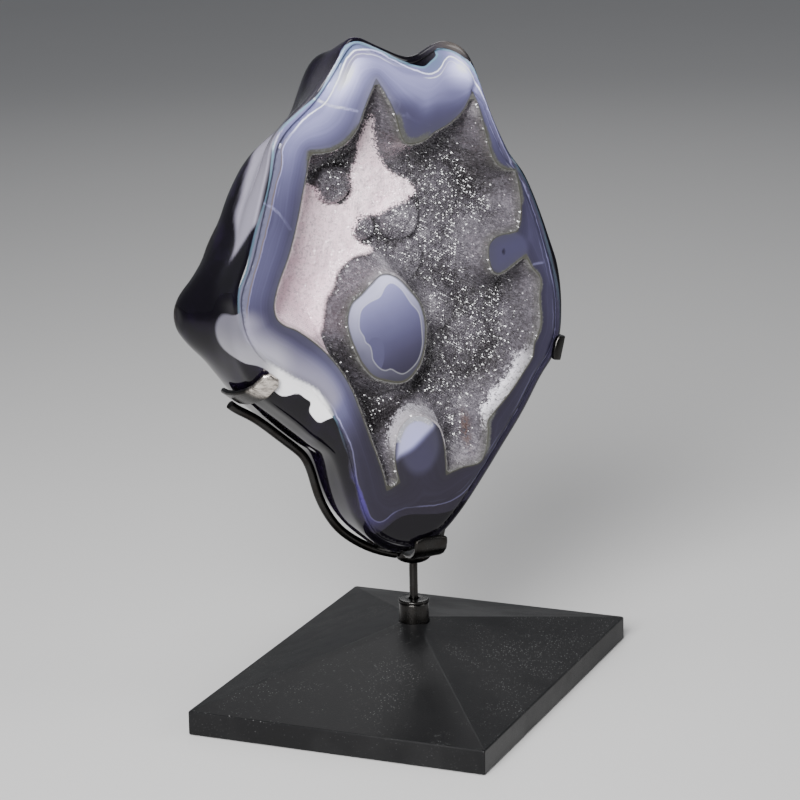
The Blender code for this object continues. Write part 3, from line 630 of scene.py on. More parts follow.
    def _lines(self, s: Surface, body: Value, milk_and_light: Value) -> Value:
        """The fine lines in the rim and the border of quartz at the hollow."""
        jagged = (s.noise(190, 3, 0.55) - 0.5) * 1.3
        skin_line, white_line = s.attribute("skin_line") + jagged, s.attribute("white_line") + jagged
        along = s.noise(35, 2, 0.5)
        top = s.attribute("top_strip")
        brown_part = s.attribute("brown_part")
        bright = s.ramp((milk_and_light + 0.36) / self.most, self._scale(0.6))
        between = skin_line.eased(0, 1.5) * white_line.eased(0.6, -0.6)
        body = s.mix(between * 0.6, body, s.ramp((milk_and_light - 0.08) / self.most, self._scale(1.5)))
        body = s.mix(between * brown_part * 0.75, body, self.strip)
        body = s.mix(between * top, body, self.deep_teal)
        body = s.mix(white_line.eased(0.3, 0.8) * white_line.eased(4.6, 4.1) * top * 0.85, body, self.lilac)
        broken = along.eased(0.25, 0.45) * (1 - brown_part) * 0.9
        body = s.mix(white_line.line(0.1, 0.5) * broken, body, bright)
        body = s.mix((white_line - 0.6).line(0.1, 0.5) * brown_part * 0.45, body, bright)
        body = s.mix(white_line.line(0.1, 0.45) * brown_part * 0.8, body, self.brown)
        body = s.mix((white_line - 2.4).line(0.1, 0.4) * along.eased(0.5, 0.7) * 0.5, body, bright)
        teal = s.mix(milk_and_light.eased(0.1, 0.8), self.clear, self.teal)
        body = s.mix((skin_line - 0.5).line(0.25, 0.7) * 0.7, body, teal)
        body = s.mix(s.attribute("wisps").eased(1.2, 0.1) * along.eased(0.2, 0.7) * 0.7, body, bright)
        body = s.mix(s.attribute("violet") * between * 0.5, body, self.violet)
        return self._border(s, body)

    def _border(self, s: Surface, body: Value) -> Value:
        """The grey quartz along the hollow, frosted on the bottom lobe, and the olive line at its edge."""
        grain = s.noise(700, 2, 0.6)
        frosted = s.attribute("frosted")
        quartz = s.mix(frosted, self.quartz, self.frost)
        quartz = s.mix(grain.eased(0.45, 0.7) * 0.5, quartz, s.mix(frosted, self.grain, self.frosted_grain))
        body = s.mix((s.attribute("quartz") + (grain - 0.5) * 0.5).eased(0.1, 0.7), body, quartz)
        border = s.attribute("from_hollow") + (s.noise(140, 3, 0.6) - 0.5) * 0.8
        return s.mix(border.eased(0.8, 0.2) * (1 - frosted) * 0.6, body, self.olive)

    def _outside(self, s: Surface, body: Value, cloud: Value) -> Value:
        """The smoky skin outside the first line, the flank and back behind the face, and two painted
        reflections.
        """
        haze = s.attribute("smoky_top")
        smoke = s.mix(cloud, *self.smoke)
        smoke = s.mix(s.attribute("brown_husk") * 0.85, smoke, s.mix(cloud, *self.top_husk))
        smoky = s.mix(haze, self.skin, smoke)
        smoky = s.mix(s.attribute("peak_line").eased(0.8, 0.1) * 0.6, smoky, self.peak_line)
        colour = s.mix(s.attribute("skin_line").eased(-0.3, 0.3), smoky, body)
        depth = s.attribute("depth")
        flank = s.mix(s.noise(30, 4, 0.6).eased(0.45, 0.8), self.skin, self.dark_violet)
        flank = s.mix(haze * depth.eased(26, 8) * 0.8, flank, smoke)
        # A painted reflection on the upper left flank
        flank = s.mix(s.attribute("flank_reflection"), flank, self.flank_reflection)
        husk = s.mix(s.noise(70, 5, 0.6).eased(0.35, 0.7), self.dark_husk, self.husk)
        flank = s.mix(depth.eased(50, 72), flank, husk)
        colour = s.mix(depth.eased(0.4, 3.0), colour, flank)
        # Painted reflection across the lower left rim and skin: it fades far inside the rim and deep on the
        # flank, grey, and white in its white part
        patch, rim = s.attribute("reflection_patch"), s.attribute("skin_line")
        patch = s.towards(patch.eased(0.0, 0.7), patch.eased(-1.0, 9), rim.eased(-0.5, 3))
        patch = patch * rim.eased(20, 4) * depth.eased(30, 24)
        reflection_veil = s.mix(rim.eased(0, 5), *self.reflection_veil)
        snowy = s.mix(s.attribute("reflection_white"), reflection_veil, self.patch)
        return s.mix(patch * (0.85 + cloud * 0.2), colour, snowy)


@dataclass(frozen=True)
class CrystalFinish:
    """Fine quartz crystals, painted shade and glints: glassy grey, white to rose on the left, snowy along the
    lower right.
    """

    dark: Colour = (0.011, 0.0095, 0.011)
    dusky: Colour = (0.03, 0.027, 0.03)
    grey: Colour = (0.088, 0.08, 0.094)
    bright: Colour = (0.3, 0.28, 0.31)
    glint: Colour = (0.92, 0.9, 0.94)
    white: Colour = (0.93, 0.76, 0.82)
    rose: Colour = (0.74, 0.55, 0.62)
    snow: Colour = (0.76, 0.73, 0.8)
    frost: Colour = (0.17, 0.16, 0.18)
    rust: Colour = (0.075, 0.042, 0.032)
    quartz: Colour = (0.06, 0.059, 0.053)
    fleck: Colour = (0.42, 0.34, 0.38)
    ring: Colour = (0.26, 0.24, 0.26)
    lip: Colour = (0.14, 0.14, 0.135)

    def material(self) -> bpy.types.Material:
        """The material, which reads the crystals' own attributes."""
        s = Surface("quartz_crystals")
        grain = s.cells(560)
        fine = s.cells(1300)
        cloud = s.noise(45, 4, 0.6)
        # Painted glints on a few small cells, where the crystals are lit
        glints = s.cells(1500).eased(0.91, 0.96)
        # The lightness: the crystals' random tone, with painted shade from the lining and painted light on the
        # peaks
        light = (grain - 0.5) * 0.26 + (fine - 0.5) * 0.24 + s.attribute("peak") * 0.1 + s.attribute("shade")
        light = light + (cloud - 0.5) * 0.55
        glassy = s.ramp(light, [(0.0, self.dark), (0.25, self.dusky), (0.55, self.grey), (1.0, self.bright)])
        glassy = s.mix(glints * light.eased(0.1, 0.5) * 0.6, glassy, self.glint)
        streaks = s.noise(35, 3, 0.5, stretch=(1, 1, 0.12))
        blush = (streaks.eased(0.35, 0.65) * 0.5 + s.attribute("rose") * 0.55).clamped()
        pale = s.mix(blush, self.white, self.rose)
        specks = (fine * 0.6 + grain * 0.4).eased(0.55, 0.15)
        pale = s.mix(specks * (0.45 + cloud * 0.6), pale, self.fleck)
        crisp = s.attribute("skirt").eased(6, 1.5)
        ragged = ((cloud - 0.5) * 7 + (fine - 0.5) * 3) * (1 - crisp * 0.85)
        colour = s.mix((s.attribute("white") + ragged).eased(-1.2, 0.8), glassy, pale)
        snowy = s.mix(s.attribute("snow_light"), self.frost, self.snow)
        snowy = s.mix(specks * 0.8, snowy, self.frost)
        drifts = (s.attribute("snow") + ragged * 0.7 + (grain - 0.5) * 2).eased(-0.8, 1.0)
        colour = s.mix(drifts * 0.9, colour, snowy)
        colour = s.mix(s.attribute("rust") * grain.eased(0.2, 0.6) * 0.7, colour, self.rust)
        quartz = s.mix(s.attribute("ring_light"), self.quartz, self.ring)
        colour = s.mix(s.attribute("ring") * (0.35 + cloud * 0.5), colour, quartz)
        colour = s.mix(s.attribute("lip"), colour, s.mix(cloud * 0.6, quartz, self.lip))
        return s.finish({
            "Base Color": colour,
            "Roughness": 0.1 + fine * 0.16,
            "IOR": QUARTZ_IOR,
            "Coat Weight": 0.35,
            "Coat Roughness": 0.08,
            "Subsurface Weight": 0.3,
            "Subsurface Radius": (1, 1, 1),
            "Subsurface Scale": 0.001,
            "Normal": s.bump(s.noise(1500, 2, 0.5), 0.0002, 0.35),
        })


@dataclass(frozen=True)
class BlackPaint:
    """Satin black paint with dust and fine scratches."""

    paint: Colour = (0.005, 0.005, 0.0054)
    worn: Colour = (0.016, 0.016, 0.0165)
    dust: Colour = (0.24, 0.24, 0.24)
    edge: Colour = (0.05, 0.05, 0.052)
    bare: Colour = (0.42, 0.41, 0.4)
    dust_from: float = 0.013
    dust_full: float = 0.0142

    def material(self) -> bpy.types.Material:
        """The paint on the base's flat sides."""
        s = Surface("black_painted_steel")
        haze = s.noise(11, 4, 0.65).eased(0.35, 0.7)
        settled = s.along(2).eased(self.dust_from, self.dust_full) * 0.9 + 0.1
        coarse = s.cells(360, "Distance").eased(0.17, 0.07) * s.noise(16, 4, 0.6).eased(0.48, 0.66)
        fine = s.cells(620, "Distance").eased(0.24, 0.1) * s.noise(24, 5, 0.7).eased(0.46, 0.62)
        scratches = s.noise(900, 2, 0.5, stretch=(0.03, 1, 1)).eased(0.68, 0.76)
        hairs = s.noise(700, 2, 0.5, stretch=(1, 0.02, 1)).eased(0.72, 0.78)
        colour = s.mix(haze * 0.7, self.paint, self.worn)
        colour = s.mix(coarse * settled * 0.6, colour, self.dust)
        colour = s.mix(fine * settled * 0.55, colour, self.dust)
        colour = s.mix((scratches + hairs).clamped() * 0.14, colour, self.dust)
        return s.finish({
            "Base Color": colour,
            "Specular IOR Level": 0.18,
            "Roughness": 0.36 + haze * 0.16 + coarse * 0.3,
            "Normal": s.bump(s.noise(1400, 3, 0.6) + coarse, 0.0001, 0.5),
        })

    def worn_edge(self) -> bpy.types.Material:
        """The paint along the edges, worn through to bare steel here and there."""
        s = Surface("worn_edge")
        wear = s.noise(55, 6, 0.7).eased(0.52, 0.62)
        colour = s.mix(wear, self.edge, self.bare)
        return s.finish({
            "Base Color": colour,
            "Metallic": wear,
            "Roughness": 0.42 - wear * 0.12,
            "Normal": s.bump(wear, 0.0001, 0.5),
        })


@dataclass(frozen=True)
class DarkSteel:
    """Dark polished steel with fine scratches, a faint warm tarnish and a painted reflection on the left claw.
    """

    name: str = "dark_polished_steel"
    steel: Colour = (0.034, 0.033, 0.032)
    tarnish: Colour = (0.022, 0.018, 0.015)
    plate_reflection: Colour = (0.78, 0.71, 0.64)
    smoothness: float = 0.2

    def _plate_reflection(self, s: Surface) -> Value:
        """A painted reflection on the left claw's plate, bright where it faces the front."""
        front = s.along(1).eased(-0.026, -0.032)
        return front * s.along(0).eased(-0.1, -0.104) * s.along(2).eased(0.196, 0.201)

    def material(self) -> bpy.types.Material:
        """The bare metal of the post, collar, hub, arms and claws."""
        s = Surface(self.name)
        cloud = s.noise(80, 4, 0.6)
        scratches = s.noise(1600, 3, 0.6, stretch=(1, 1, 0.05))
        colour = s.mix(cloud.eased(0.4, 0.75) * 0.7, self.steel, self.tarnish)
        streaks = s.noise(420, 4, 0.65, stretch=(0.3, 1, 1)).eased(0.32, 0.6)
        # Painted reflection on the left claw's plate, streaked
        colour = s.mix(self._plate_reflection(s) * (0.25 + streaks * 0.7), colour, self.plate_reflection)
        return s.finish({
            "Base Color": colour,
            "Metallic": 1.0,
            "Roughness": self.smoothness + cloud * 0.14 + scratches.eased(0.5, 0.8) * 0.1,
            "Normal": s.bump(scratches + cloud * 0.6, 0.00006, 0.5),
        })


# Modelling helpers


def select_only(piece: bpy.types.Object) -> None:
    """Selects one object and makes it active."""
    bpy.ops.object.select_all(action="DESELECT")
    piece.select_set(True)
    bpy.context.view_layer.objects.active = piece


def select_faces(piece: bpy.types.Object, wanted: Callable[[bpy.types.MeshPolygon], bool]) -> None:
    """Selects the faces that pass a test, by their place or normal, and leaves the rest unselected."""
    mesh = piece.data
    for vertex in mesh.vertices:
        vertex.select = False
    for edge in mesh.edges:
        edge.select = False
    for face in mesh.polygons:
        face.select = wanted(face)


def select_edges(piece: bpy.types.Object, wanted: Callable[[bmesh.types.BMEdge], bool]) -> None:
    """In edit mode, selects the edges that pass a test."""
    edited = bmesh.from_edit_mesh(piece.data)
    for edge in edited.edges:
        edge.select = wanted(edge)
    edited.select_flush_mode()
    bmesh.update_edit_mesh(piece.data)


def add_modifier(piece: bpy.types.Object, kind: str, **settings: Any) -> None:
    """Adds a modifier and applies it at once."""
    select_only(piece)
    made = piece.modifiers.new(kind.lower(), kind)
    for name, value in settings.items():
        setattr(made, name, value)
    bpy.ops.object.modifier_apply(modifier=made.name)


def welded_copy(node: str, name: str, quads: bool = True) -> bpy.types.Object:
    """A copy of one of the frame's nodes, with its loose triangles joined.

    Args:
        node: the node that is copied.
        name: the copy's name.
        quads: whether pairs of triangles become quads.

    Returns:
        The copy, linked to the scene.
    """
    made = bpy.data.objects.new(name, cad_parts[node].data.copy())
    made.data.name = name
    made.data.materials.clear()
    bpy.context.scene.collection.objects.link(made)
    select_only(made)
    bpy.ops.mesh.customdata_custom_splitnormals_clear()
    bpy.ops.object.mode_set(mode="EDIT")
    bpy.ops.mesh.select_all(action="SELECT")
    bpy.ops.mesh.remove_doubles(threshold=1e-6)
    if quads:
        bpy.ops.mesh.tris_convert_to_quads(face_threshold=math.radians(40), shape_threshold=math.radians(60))
    bpy.ops.object.mode_set(mode="OBJECT")
    return made


def turned(name: str, profile: Sequence[Pair], steps: int = 96) -> bpy.types.Object:
    """A round piece on the axis, drawn up ring by ring from a circle.

    Args:
        name: the piece's name.
        profile: (radius, height) of each ring in metres.
        steps: points round each ring.

    Returns:
        The piece, its first and last ring still open.
    """
    bpy.ops.object.select_all(action="DESELECT")
    radius, height = profile[0]
    bpy.ops.mesh.primitive_circle_add(vertices=steps, radius=radius, location=(0, 0, height))
    piece = bpy.context.active_object
    piece.name = name
    piece.data.name = name
    bpy.ops.object.transform_apply(location=True, rotation=True, scale=True)
    bpy.ops.object.mode_set(mode="EDIT")
    bpy.ops.mesh.select_all(action="SELECT")
    for next_radius, next_height in profile[1:]:
        bpy.ops.mesh.extrude_region_move(TRANSFORM_OT_translate={"value": (0, 0, next_height - height)})
        scale = next_radius / radius
        bpy.ops.transform.resize(value=(scale, scale, 1), center_override=(0, 0, next_height))
        radius, height = next_radius, next_height
    bpy.ops.object.mode_set(mode="OBJECT")
    return piece


def close_ends(piece: bpy.types.Object) -> None:
    """Fills a turned piece's two open rings."""
    select_only(piece)
    bpy.ops.object.mode_set(mode="EDIT")
    bpy.ops.mesh.select_all(action="DESELECT")
    bpy.ops.mesh.select_mode(type="EDGE")
    select_edges(piece, lambda edge: edge.is_boundary)
    bpy.ops.mesh.edge_face_add()
    bpy.ops.mesh.select_all(action="SELECT")
    bpy.ops.mesh.normals_make_consistent(inside=False)
    bpy.ops.object.mode_set(mode="OBJECT")


def weld(piece: bpy.types.Object, threshold: float = 1e-6) -> None:
    """Joins the points that lie in the same place and turns all faces outwards."""
    select_only(piece)
    bpy.ops.object.mode_set(mode="EDIT")
    bpy.ops.mesh.select_all(action="SELECT")
    bpy.ops.mesh.remove_doubles(threshold=threshold)
    bpy.ops.mesh.normals_make_consistent(inside=False)
    bpy.ops.object.mode_set(mode="OBJECT")


def soften_edges(piece: bpy.types.Object, width: float, segments: int = 3, angle: float = 30) -> None:
    """Rounds the sharp edges and shades the rest smooth."""
    add_modifier(piece, "BEVEL", width=width, segments=segments, limit_method="ANGLE",
                 angle_limit=math.radians(angle), harden_normals=False)
    select_only(piece)
    bpy.ops.object.shade_smooth_by_angle(angle=math.radians(40))


def settle(piece: bpy.types.Object, body: Body, slot: Slot, surface: bpy.types.Material, *nodes: str) -> None:
    """Gives a finished piece its material, its body and the nodes that it stands for."""
    if surface.name not in piece.data.materials:
        piece.data.materials.append(surface)
    if nodes:
        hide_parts(*nodes)
    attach(piece, body.value)
    log.info("%s: %d faces, on %s", piece.name, len(piece.data.polygons), body.value)


def mesh_object(name: str, vertices: np.ndarray, faces: Sequence[Sequence[int]]) -> bpy.types.Object:
    """A new object from points and faces, linked to the scene."""
    mesh = bpy.data.meshes.new(name)
    mesh.from_pydata(vertices.tolist(), [], [list(face) for face in faces])
    made = bpy.data.objects.new(name, mesh)
    bpy.context.scene.collection.objects.link(made)
    return made


def face_places(piece: bpy.types.Object) -> np.ndarray:
    """Where each point of the mesh lies on the stone's face, in millimetres."""
    return np.array([(v.co.x, v.co.z) for v in piece.data.vertices]) / MM


def keep_numbers(piece: bpy.types.Object, numbers: dict[str, np.ndarray]) -> None:
    """Stores named numbers for each of the mesh's points."""
    for name, values in numbers.items():
        made = piece.data.attributes.new(name, "FLOAT", "POINT")
        made.data.foreach_set("value", np.asarray(values, np.float32))


# The stone


@dataclass
class Hollow:
    """The hollow's shape: how deep its floor and wall lie behind the face, in millimetres."""

    floor: float = 26
    wall_run: float = 17
    wall_power: float = 2.3
    roughness: float = 1.5
    rough_size: float = 22
    crust: float = 3.2
    knobs: tuple[Spot, ...] = (
        (-56, 309, 11, 7), (-37, 282, 7, 4), (-15, 286, 13, 7), (-12, 262, 12, 4), (12, 300, 14, 2),
        (30, 208, 16, 2), (5, 232, 16, 3), (-52, 180, 12, 4))

    def depths(self, points: np.ndarray, from_edge: np.ndarray) -> np.ndarray:
        """The bare hollow's depth.

        Args:
            points: places on the face.
            from_edge: how far each is from the nearest edge of the hollow.

        Returns:
            A depth for each place.
        """
        reach = np.minimum(from_edge / self.wall_run, 1)
        depth = self.floor * (1 - (1 - reach) ** self.wall_power)
        swell = np.zeros(len(points))
        for across, height, size, rise in self.knobs:
            away = np.linalg.norm(points - (across, height), axis=1) / size
            swell = np.maximum(swell, rise * np.sqrt(np.maximum(0, 1 - away * away)))
        return depth - (swell + self.roughness * rough(points, self.rough_size, 3)) * reach**2


def honeycomb(step: float, shift: float, seed: int) -> tuple[np.ndarray, np.ndarray]:
    """Points of a triangular grid over the face, moved a little at random.

    Args:
        step: the way from a point to the next.
        shift: how far a point may move, as a share of the step.
        seed: starts the random moves.

    Returns:
        The points, and whether each is one of the third that stand apart from each other.
    """
    rows, columns = int(GRID_HEIGHT / (step * math.sqrt(3) / 2)), int(GRID_WIDTH / step)
    row, column = (grid.ravel() for grid in np.meshgrid(np.arange(rows), np.arange(columns), indexing="ij"))
    points = np.stack([GRID_LEFT + (column + row % 2 / 2) * step,
                       GRID_FOOT + row * step * math.sqrt(3) / 2], axis=1)
    points += np.random.default_rng(seed).uniform(-shift * step, shift * step, points.shape)
    return points, (column + (row % 2) * 2) % 3 == 0


def triangulate(points: np.ndarray, lines: Sequence[np.ndarray]) -> tuple[np.ndarray, list[list[int]]]:
    """Triangles over points and closed lines, all of them kept as they are."""
    joined = [*points]
    edges = []
    for line in lines:
        start = len(joined)
        joined += [*line]
        edges += [(start + i, start + (i + 1) % len(line)) for i in range(len(line))]
    made = delaunay_2d_cdt([Vector(p) for p in joined], edges, [], 1, 1e-5)
    return np.array([tuple(p) for p in made[0]]), made[2]


def on_stone(points: np.ndarray, depths: np.ndarray, face_y: float) -> np.ndarray:
    """The places on the face, at those depths behind it, as points in metres."""
    return np.stack([points[:, 0] * MM, face_y + depths * MM, points[:, 1] * MM], axis=1)


@dataclass(frozen=True)
class RimMilkAndLight:
    """How milky the rim is: clear at the foot, milkier with height and on the left, most in the two peaks.

    Each rise is an amount and the millimetres between which it comes in. The rises with height and to the left
    are partly the stone's own milkiness and partly painted light falling from the upper left. A patch is a
    place on the face, how far it reaches and what it adds: the left peak, the right peak, the pale shoulder at
    the lower left, the darker widest point above it, and the darker root of the top lobe.
    """

    foot: float = 0.06
    up_the_sides: Rise = (0.24, 90, 280)
    towards_the_top: Rise = (0.42, 300, 372)
    to_the_left: Rise = (0.13, 45, 80)
    patches: tuple[Spot, ...] = (
        (-62, 376, 26, 0.35), (18, 374, 20, 0.36), (-70, 196, 38, 0.3), (-112, 240, 22, -0.08),
        (10, 350, 18, -0.12))

    def at(self, places: np.ndarray) -> np.ndarray:
        """The milkiness at each place on the face, partly painted light, from 0 for clear to about 1."""
        across, height = places[:, 0], places[:, 1]
        milk_and_light = np.full(len(places), self.foot)
        for values, (rise, low, high) in ((height, self.up_the_sides), (height, self.towards_the_top),
                                          (-across, self.to_the_left)):
            milk_and_light += rise * eased(values, low, high)
        for x, z, reach, change in self.patches:
            milk_and_light += change * near(places, (x, z), reach)
        return milk_and_light


@dataclass
class Stone:
    """The geode: its skin from the frame, a finely divided face for the bands, and the bare hollow."""

    hollow: Hollow
    face_y: float = -38 * MM
    line_step: float = 1.1
    face_step: float = 1.6
    hollow_step: float = 4.0
    border_run: float = 3.6
    border_fall: float = 1.9
    rind_depth: float = 50.0
    rind_rise: float = 1.3
    rind_size: float = 24.0
    quartz_border: tuple[Spot, ...] = (
        (-20, 336, 18, 5), (-66, 334, 24, 3.2), (36, 322, 22, 2.6), (50, 300, 14, 3), (-20, 172, 17, 4.5),
        (33, 158, 16, 3), (62, 250, 20, 1.6), (64, 222, 20, 1.6), (44, 262, 16, 1.8))

    def build(self) -> bpy.types.Object:
        """The whole stone as one closed mesh, with its attributes."""
        skin = self._skin()
        border = self._border(skin)
        edge, stalactite = hollow_line(self.line_step), closed_line(STALACTITE_EDGE, self.line_step)
        points, faces, depths = self._front(border, edge, stalactite)
        front = mesh_object("front", on_stone(points, depths, self.face_y), faces)
        select_only(skin)
        front.select_set(True)
        bpy.ops.object.join()
        weld(skin, 2e-6)
        bpy.ops.object.shade_smooth_by_angle(angle=math.radians(58))
        self._measure(skin, border, edge, stalactite)
        self._round_border(skin, border)
        return skin

    def _round_border(self, stone: bpy.types.Object, border: np.ndarray) -> None:
        """Lets the face curve back towards its outline, where the flat meets the flank."""
        places = face_places(stone)
        on_face = np.array([v.co.y < self.face_y + 1e-6 for v in stone.data.vertices])
        share = np.clip(1 - distance_to(places, border) / self.border_run, 0, 1)
        for vertex, fall, flat in zip(stone.data.vertices, share**2 * self.border_fall, on_face):
            if flat:
                vertex.co.y += fall * MM

    def _skin(self) -> bpy.types.Object:
        """The nodule's outside without its front, smoothed and with a rough rind at the back."""
        skin = welded_copy("agate", "geode")
        edge = hollow_line(5)
        places = np.array([(f.center.x, f.center.z) for f in skin.data.polygons]) / MM
        inside = within(places, edge)
        deep = np.array([(f.center.y - self.face_y) / MM for f in skin.data.polygons])
        front = (deep < 0.01) | (inside & (deep < self.hollow.floor + 1.5))
        select_faces(skin, lambda face: bool(front[face.index]))
        bpy.ops.object.mode_set(mode="EDIT")
        bpy.ops.mesh.delete(type="FACE")
        bpy.ops.object.mode_set(mode="OBJECT")
        self._keep_form(skin)
        add_modifier(skin, "SUBSURF", levels=2, render_levels=2)
        self._roughen(skin)
        self._keep_within(skin)
        return skin

    def _keep_form(self, skin: bpy.types.Object) -> None:
        """Moves the points outwards so that the smoothed surface passes through where they were."""
        mesh = skin.data
        count = len(mesh.vertices)
        wanted = np.array([v.co for v in mesh.vertices])
        smoothing = skin.modifiers.new("smoothing", "SUBSURF")
        smoothing.levels = 3
        for _ in range(4):
            smooth = skin.evaluated_get(bpy.context.evaluated_depsgraph_get()).data
            reached = np.array([v.co for v in smooth.vertices[:count]])
            moved = np.array([v.co for v in mesh.vertices]) + 0.8 * (wanted - reached)
            mesh.vertices.foreach_set("co", moved.ravel())
            mesh.update()
        skin.modifiers.remove(smoothing)

    def _keep_within(self, skin: bpy.types.Object) -> None:
        """Keeps the skin within the box of the frame's stone."""
        low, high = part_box("agate")
        kept = np.clip(np.array([v.co for v in skin.data.vertices]), low, high)
        skin.data.vertices.foreach_set("co", kept.ravel())

    def _roughen(self, skin: bpy.types.Object) -> None:
        """Moves the back's points in and out for the rind's low bumps."""
        moves = []
        for vertex in skin.data.vertices:
            depth = (vertex.co.y - self.face_y) / MM
            share = min(max((depth - self.rind_depth) / 20, 0), 1)
            bumps = noise.fractal(vertex.co / (self.rind_size * MM), 0.5, 2.0, 2) if share else 0
            moves.append(vertex.normal * (bumps * share * self.rind_rise * MM))
        for vertex, move in zip(skin.data.vertices, moves):
            vertex.co += move

    def _border(self, skin: bpy.types.Object) -> np.ndarray:
        """The open edge of the skin as one closed line on the face."""
        edited = bmesh.new()
        edited.from_mesh(skin.data)
        start = next(v for v in edited.verts if v.is_boundary)
        loop = [start]
        before = None
        while True:
            here = loop[-1]
            nexts = [e.other_vert(here) for e in here.link_edges if e.is_boundary]
            onward = nexts[0] if nexts[0] is not before else nexts[1]
            if onward is start:
                break
            before = here
            loop.append(onward)
        line = np.array([(v.co.x, v.co.z) for v in loop]) / MM
        edited.free()
        return line

    def _front(self, border: np.ndarray, edge: np.ndarray,
               stalactite: np.ndarray) -> tuple[np.ndarray, list[list[int]], np.ndarray]:
        """The face and the bare hollow.

        Args:
            border: the face's outline.
            edge: the hollow's edge.
            stalactite: the stalactite's edge.

        Returns:
            The places on the face, the triangles over them and their depths.
        """
        fine, _ = honeycomb(self.face_step, 0.1, 2)
        polished = within(fine, border) & (~within(fine, edge) | within(fine, stalactite))
        for line in (border, edge, stalactite):
            polished &= distance_to(fine, line) > 0.55 * self.line_step
        coarse, _ = honeycomb(self.hollow_step, 0.1, 3)
        open_hollow = within(coarse, edge) & ~within(coarse, stalactite)
        for line in (edge, stalactite):
            open_hollow &= distance_to(coarse, line) > 1.5
        kept = np.vstack([fine[polished], coarse[open_hollow]])
        points, faces = triangulate(kept, (border, edge, stalactite))
        from_edge = np.minimum(distance_to(points, edge), distance_to(points, stalactite))
        inside = within(points, edge) & ~within(points, stalactite) & (from_edge > 0.01)
        depths = np.where(inside, self.hollow.depths(points, from_edge), 0)
        return points, faces, depths

    def _measure(self, stone: bpy.types.Object, border: np.ndarray, edge: np.ndarray,
                 stalactite: np.ndarray) -> None:
        """Stores how far each point lies from the lines on the face."""
        places = face_places(stone)
        depth = np.array([(v.co.y - self.face_y) / MM for v in stone.data.vertices])
        from_border = distance_to(places, border)
        in_stalactite = depth_inside(places, stalactite)
        from_hollow = np.where(in_stalactite > 0, in_stalactite, np.maximum(-depth_inside(places, edge), 0))
        line_depth = {name: depth_inside(places, closed_line(line, 1.5)) for name, line in (
            ("skin_line", SKIN_LINE), ("white_line", WHITE_LINE), ("core", STALACTITE_CORE),
            ("core_lobe", CORE_LOBE), ("lobe_tip", LOBE_TIP), ("milky_lobe", MILKY_LOBE),
            ("smoky_patch", SMOKY_PATCH), ("reflection_patch", REFLECTION_PATCH))}
        numbers = {
            **line_depth,
            "depth": depth,
            "share": from_border / np.maximum(from_border + from_hollow, 0.01),
            "from_hollow": from_hollow,
            "milk_and_light": RimMilkAndLight().at(places),
            "stalactite": in_stalactite,
            "peak_line": distance_to(places, closed_line(PEAK_LINE, 1)),
            "brown_part": eased(places[:, 1], 232, 248) * eased(-places[:, 1], -350, -334)
            * eased(-places[:, 0], 60, 74),
            "wisps": np.min([distance_to(places, smooth_through(w, False), False) for w in WISPS], axis=0),
            "bottom_lobe": 13 - np.linalg.norm((places - (-15, 158)) * (1, 0.75), axis=1),
            "side_eye": 14 - np.linalg.norm((places - (43, 263)) * (1, 1.15), axis=1),
            "side_mark": np.linalg.norm((places - (40.8, 263.6)) * (1.4, 0.8), axis=1),
            "eye_light": 0.52 + (places - (-36, 228)) @ (-0.004, 0.0115),
            "top_strip": np.maximum(near(places, (-57, 382), 26), near(places, (-3, 376), 12)),
            # Where the painted reflection on the lower left is white
            "reflection_white": (eased(places[:, 0], -112, -99) * eased(-line_depth["skin_line"], -1.4, 0.4)
                            + 0.16 * eased(-places[:, 1], -240, -220) * eased(-places[:, 0], 90, 104)),
            "frosted": near(places, (-17, 172), 26, 18),
            "quartz": self._quartz(places, from_hollow),
            "smoky_top": np.minimum(near(places, (-84, 372), 36) * 1.4 + near(places, (8, 388), 24) * 1.6, 1),
            "brown_husk": near(places, (14, 386), 20),
            "violet": near(places, (-47, 134), 24),
            "flank_reflection": self._flank_reflection(places, depth),
        }
        keep_numbers(stone, numbers)

    def _quartz(self, places: np.ndarray, from_hollow: np.ndarray) -> np.ndarray:
        """How far each place is within the wider stretches of the quartz border."""
        kept = np.zeros(len(places))
        for across, height, reach, width in self.quartz_border:
            share = near(places, (across, height), reach, 0.5 * reach)
            kept = np.maximum(kept, share * eased(-from_hollow, -width, -0.2 * width))
        return kept

    def _flank_reflection(self, places: np.ndarray, depth: np.ndarray) -> np.ndarray:
        """Where a painted reflection lies on the upper left flank."""
        height = eased(places[:, 1] + rough(places, 9) * 3, 262, 274) * eased(-places[:, 1], -356, -332)
        left = eased(-places[:, 0] - rough(places, 14, 3) * 5, 66, 84)
        tip = eased(depth - 0.9 * (300 - places[:, 1]), -4, 0)
        back = eased(-depth - rough(places, 16, 5) * 7 + 0.35 * (places[:, 1] - 340), -52, -45)
        return height * left * tip * back


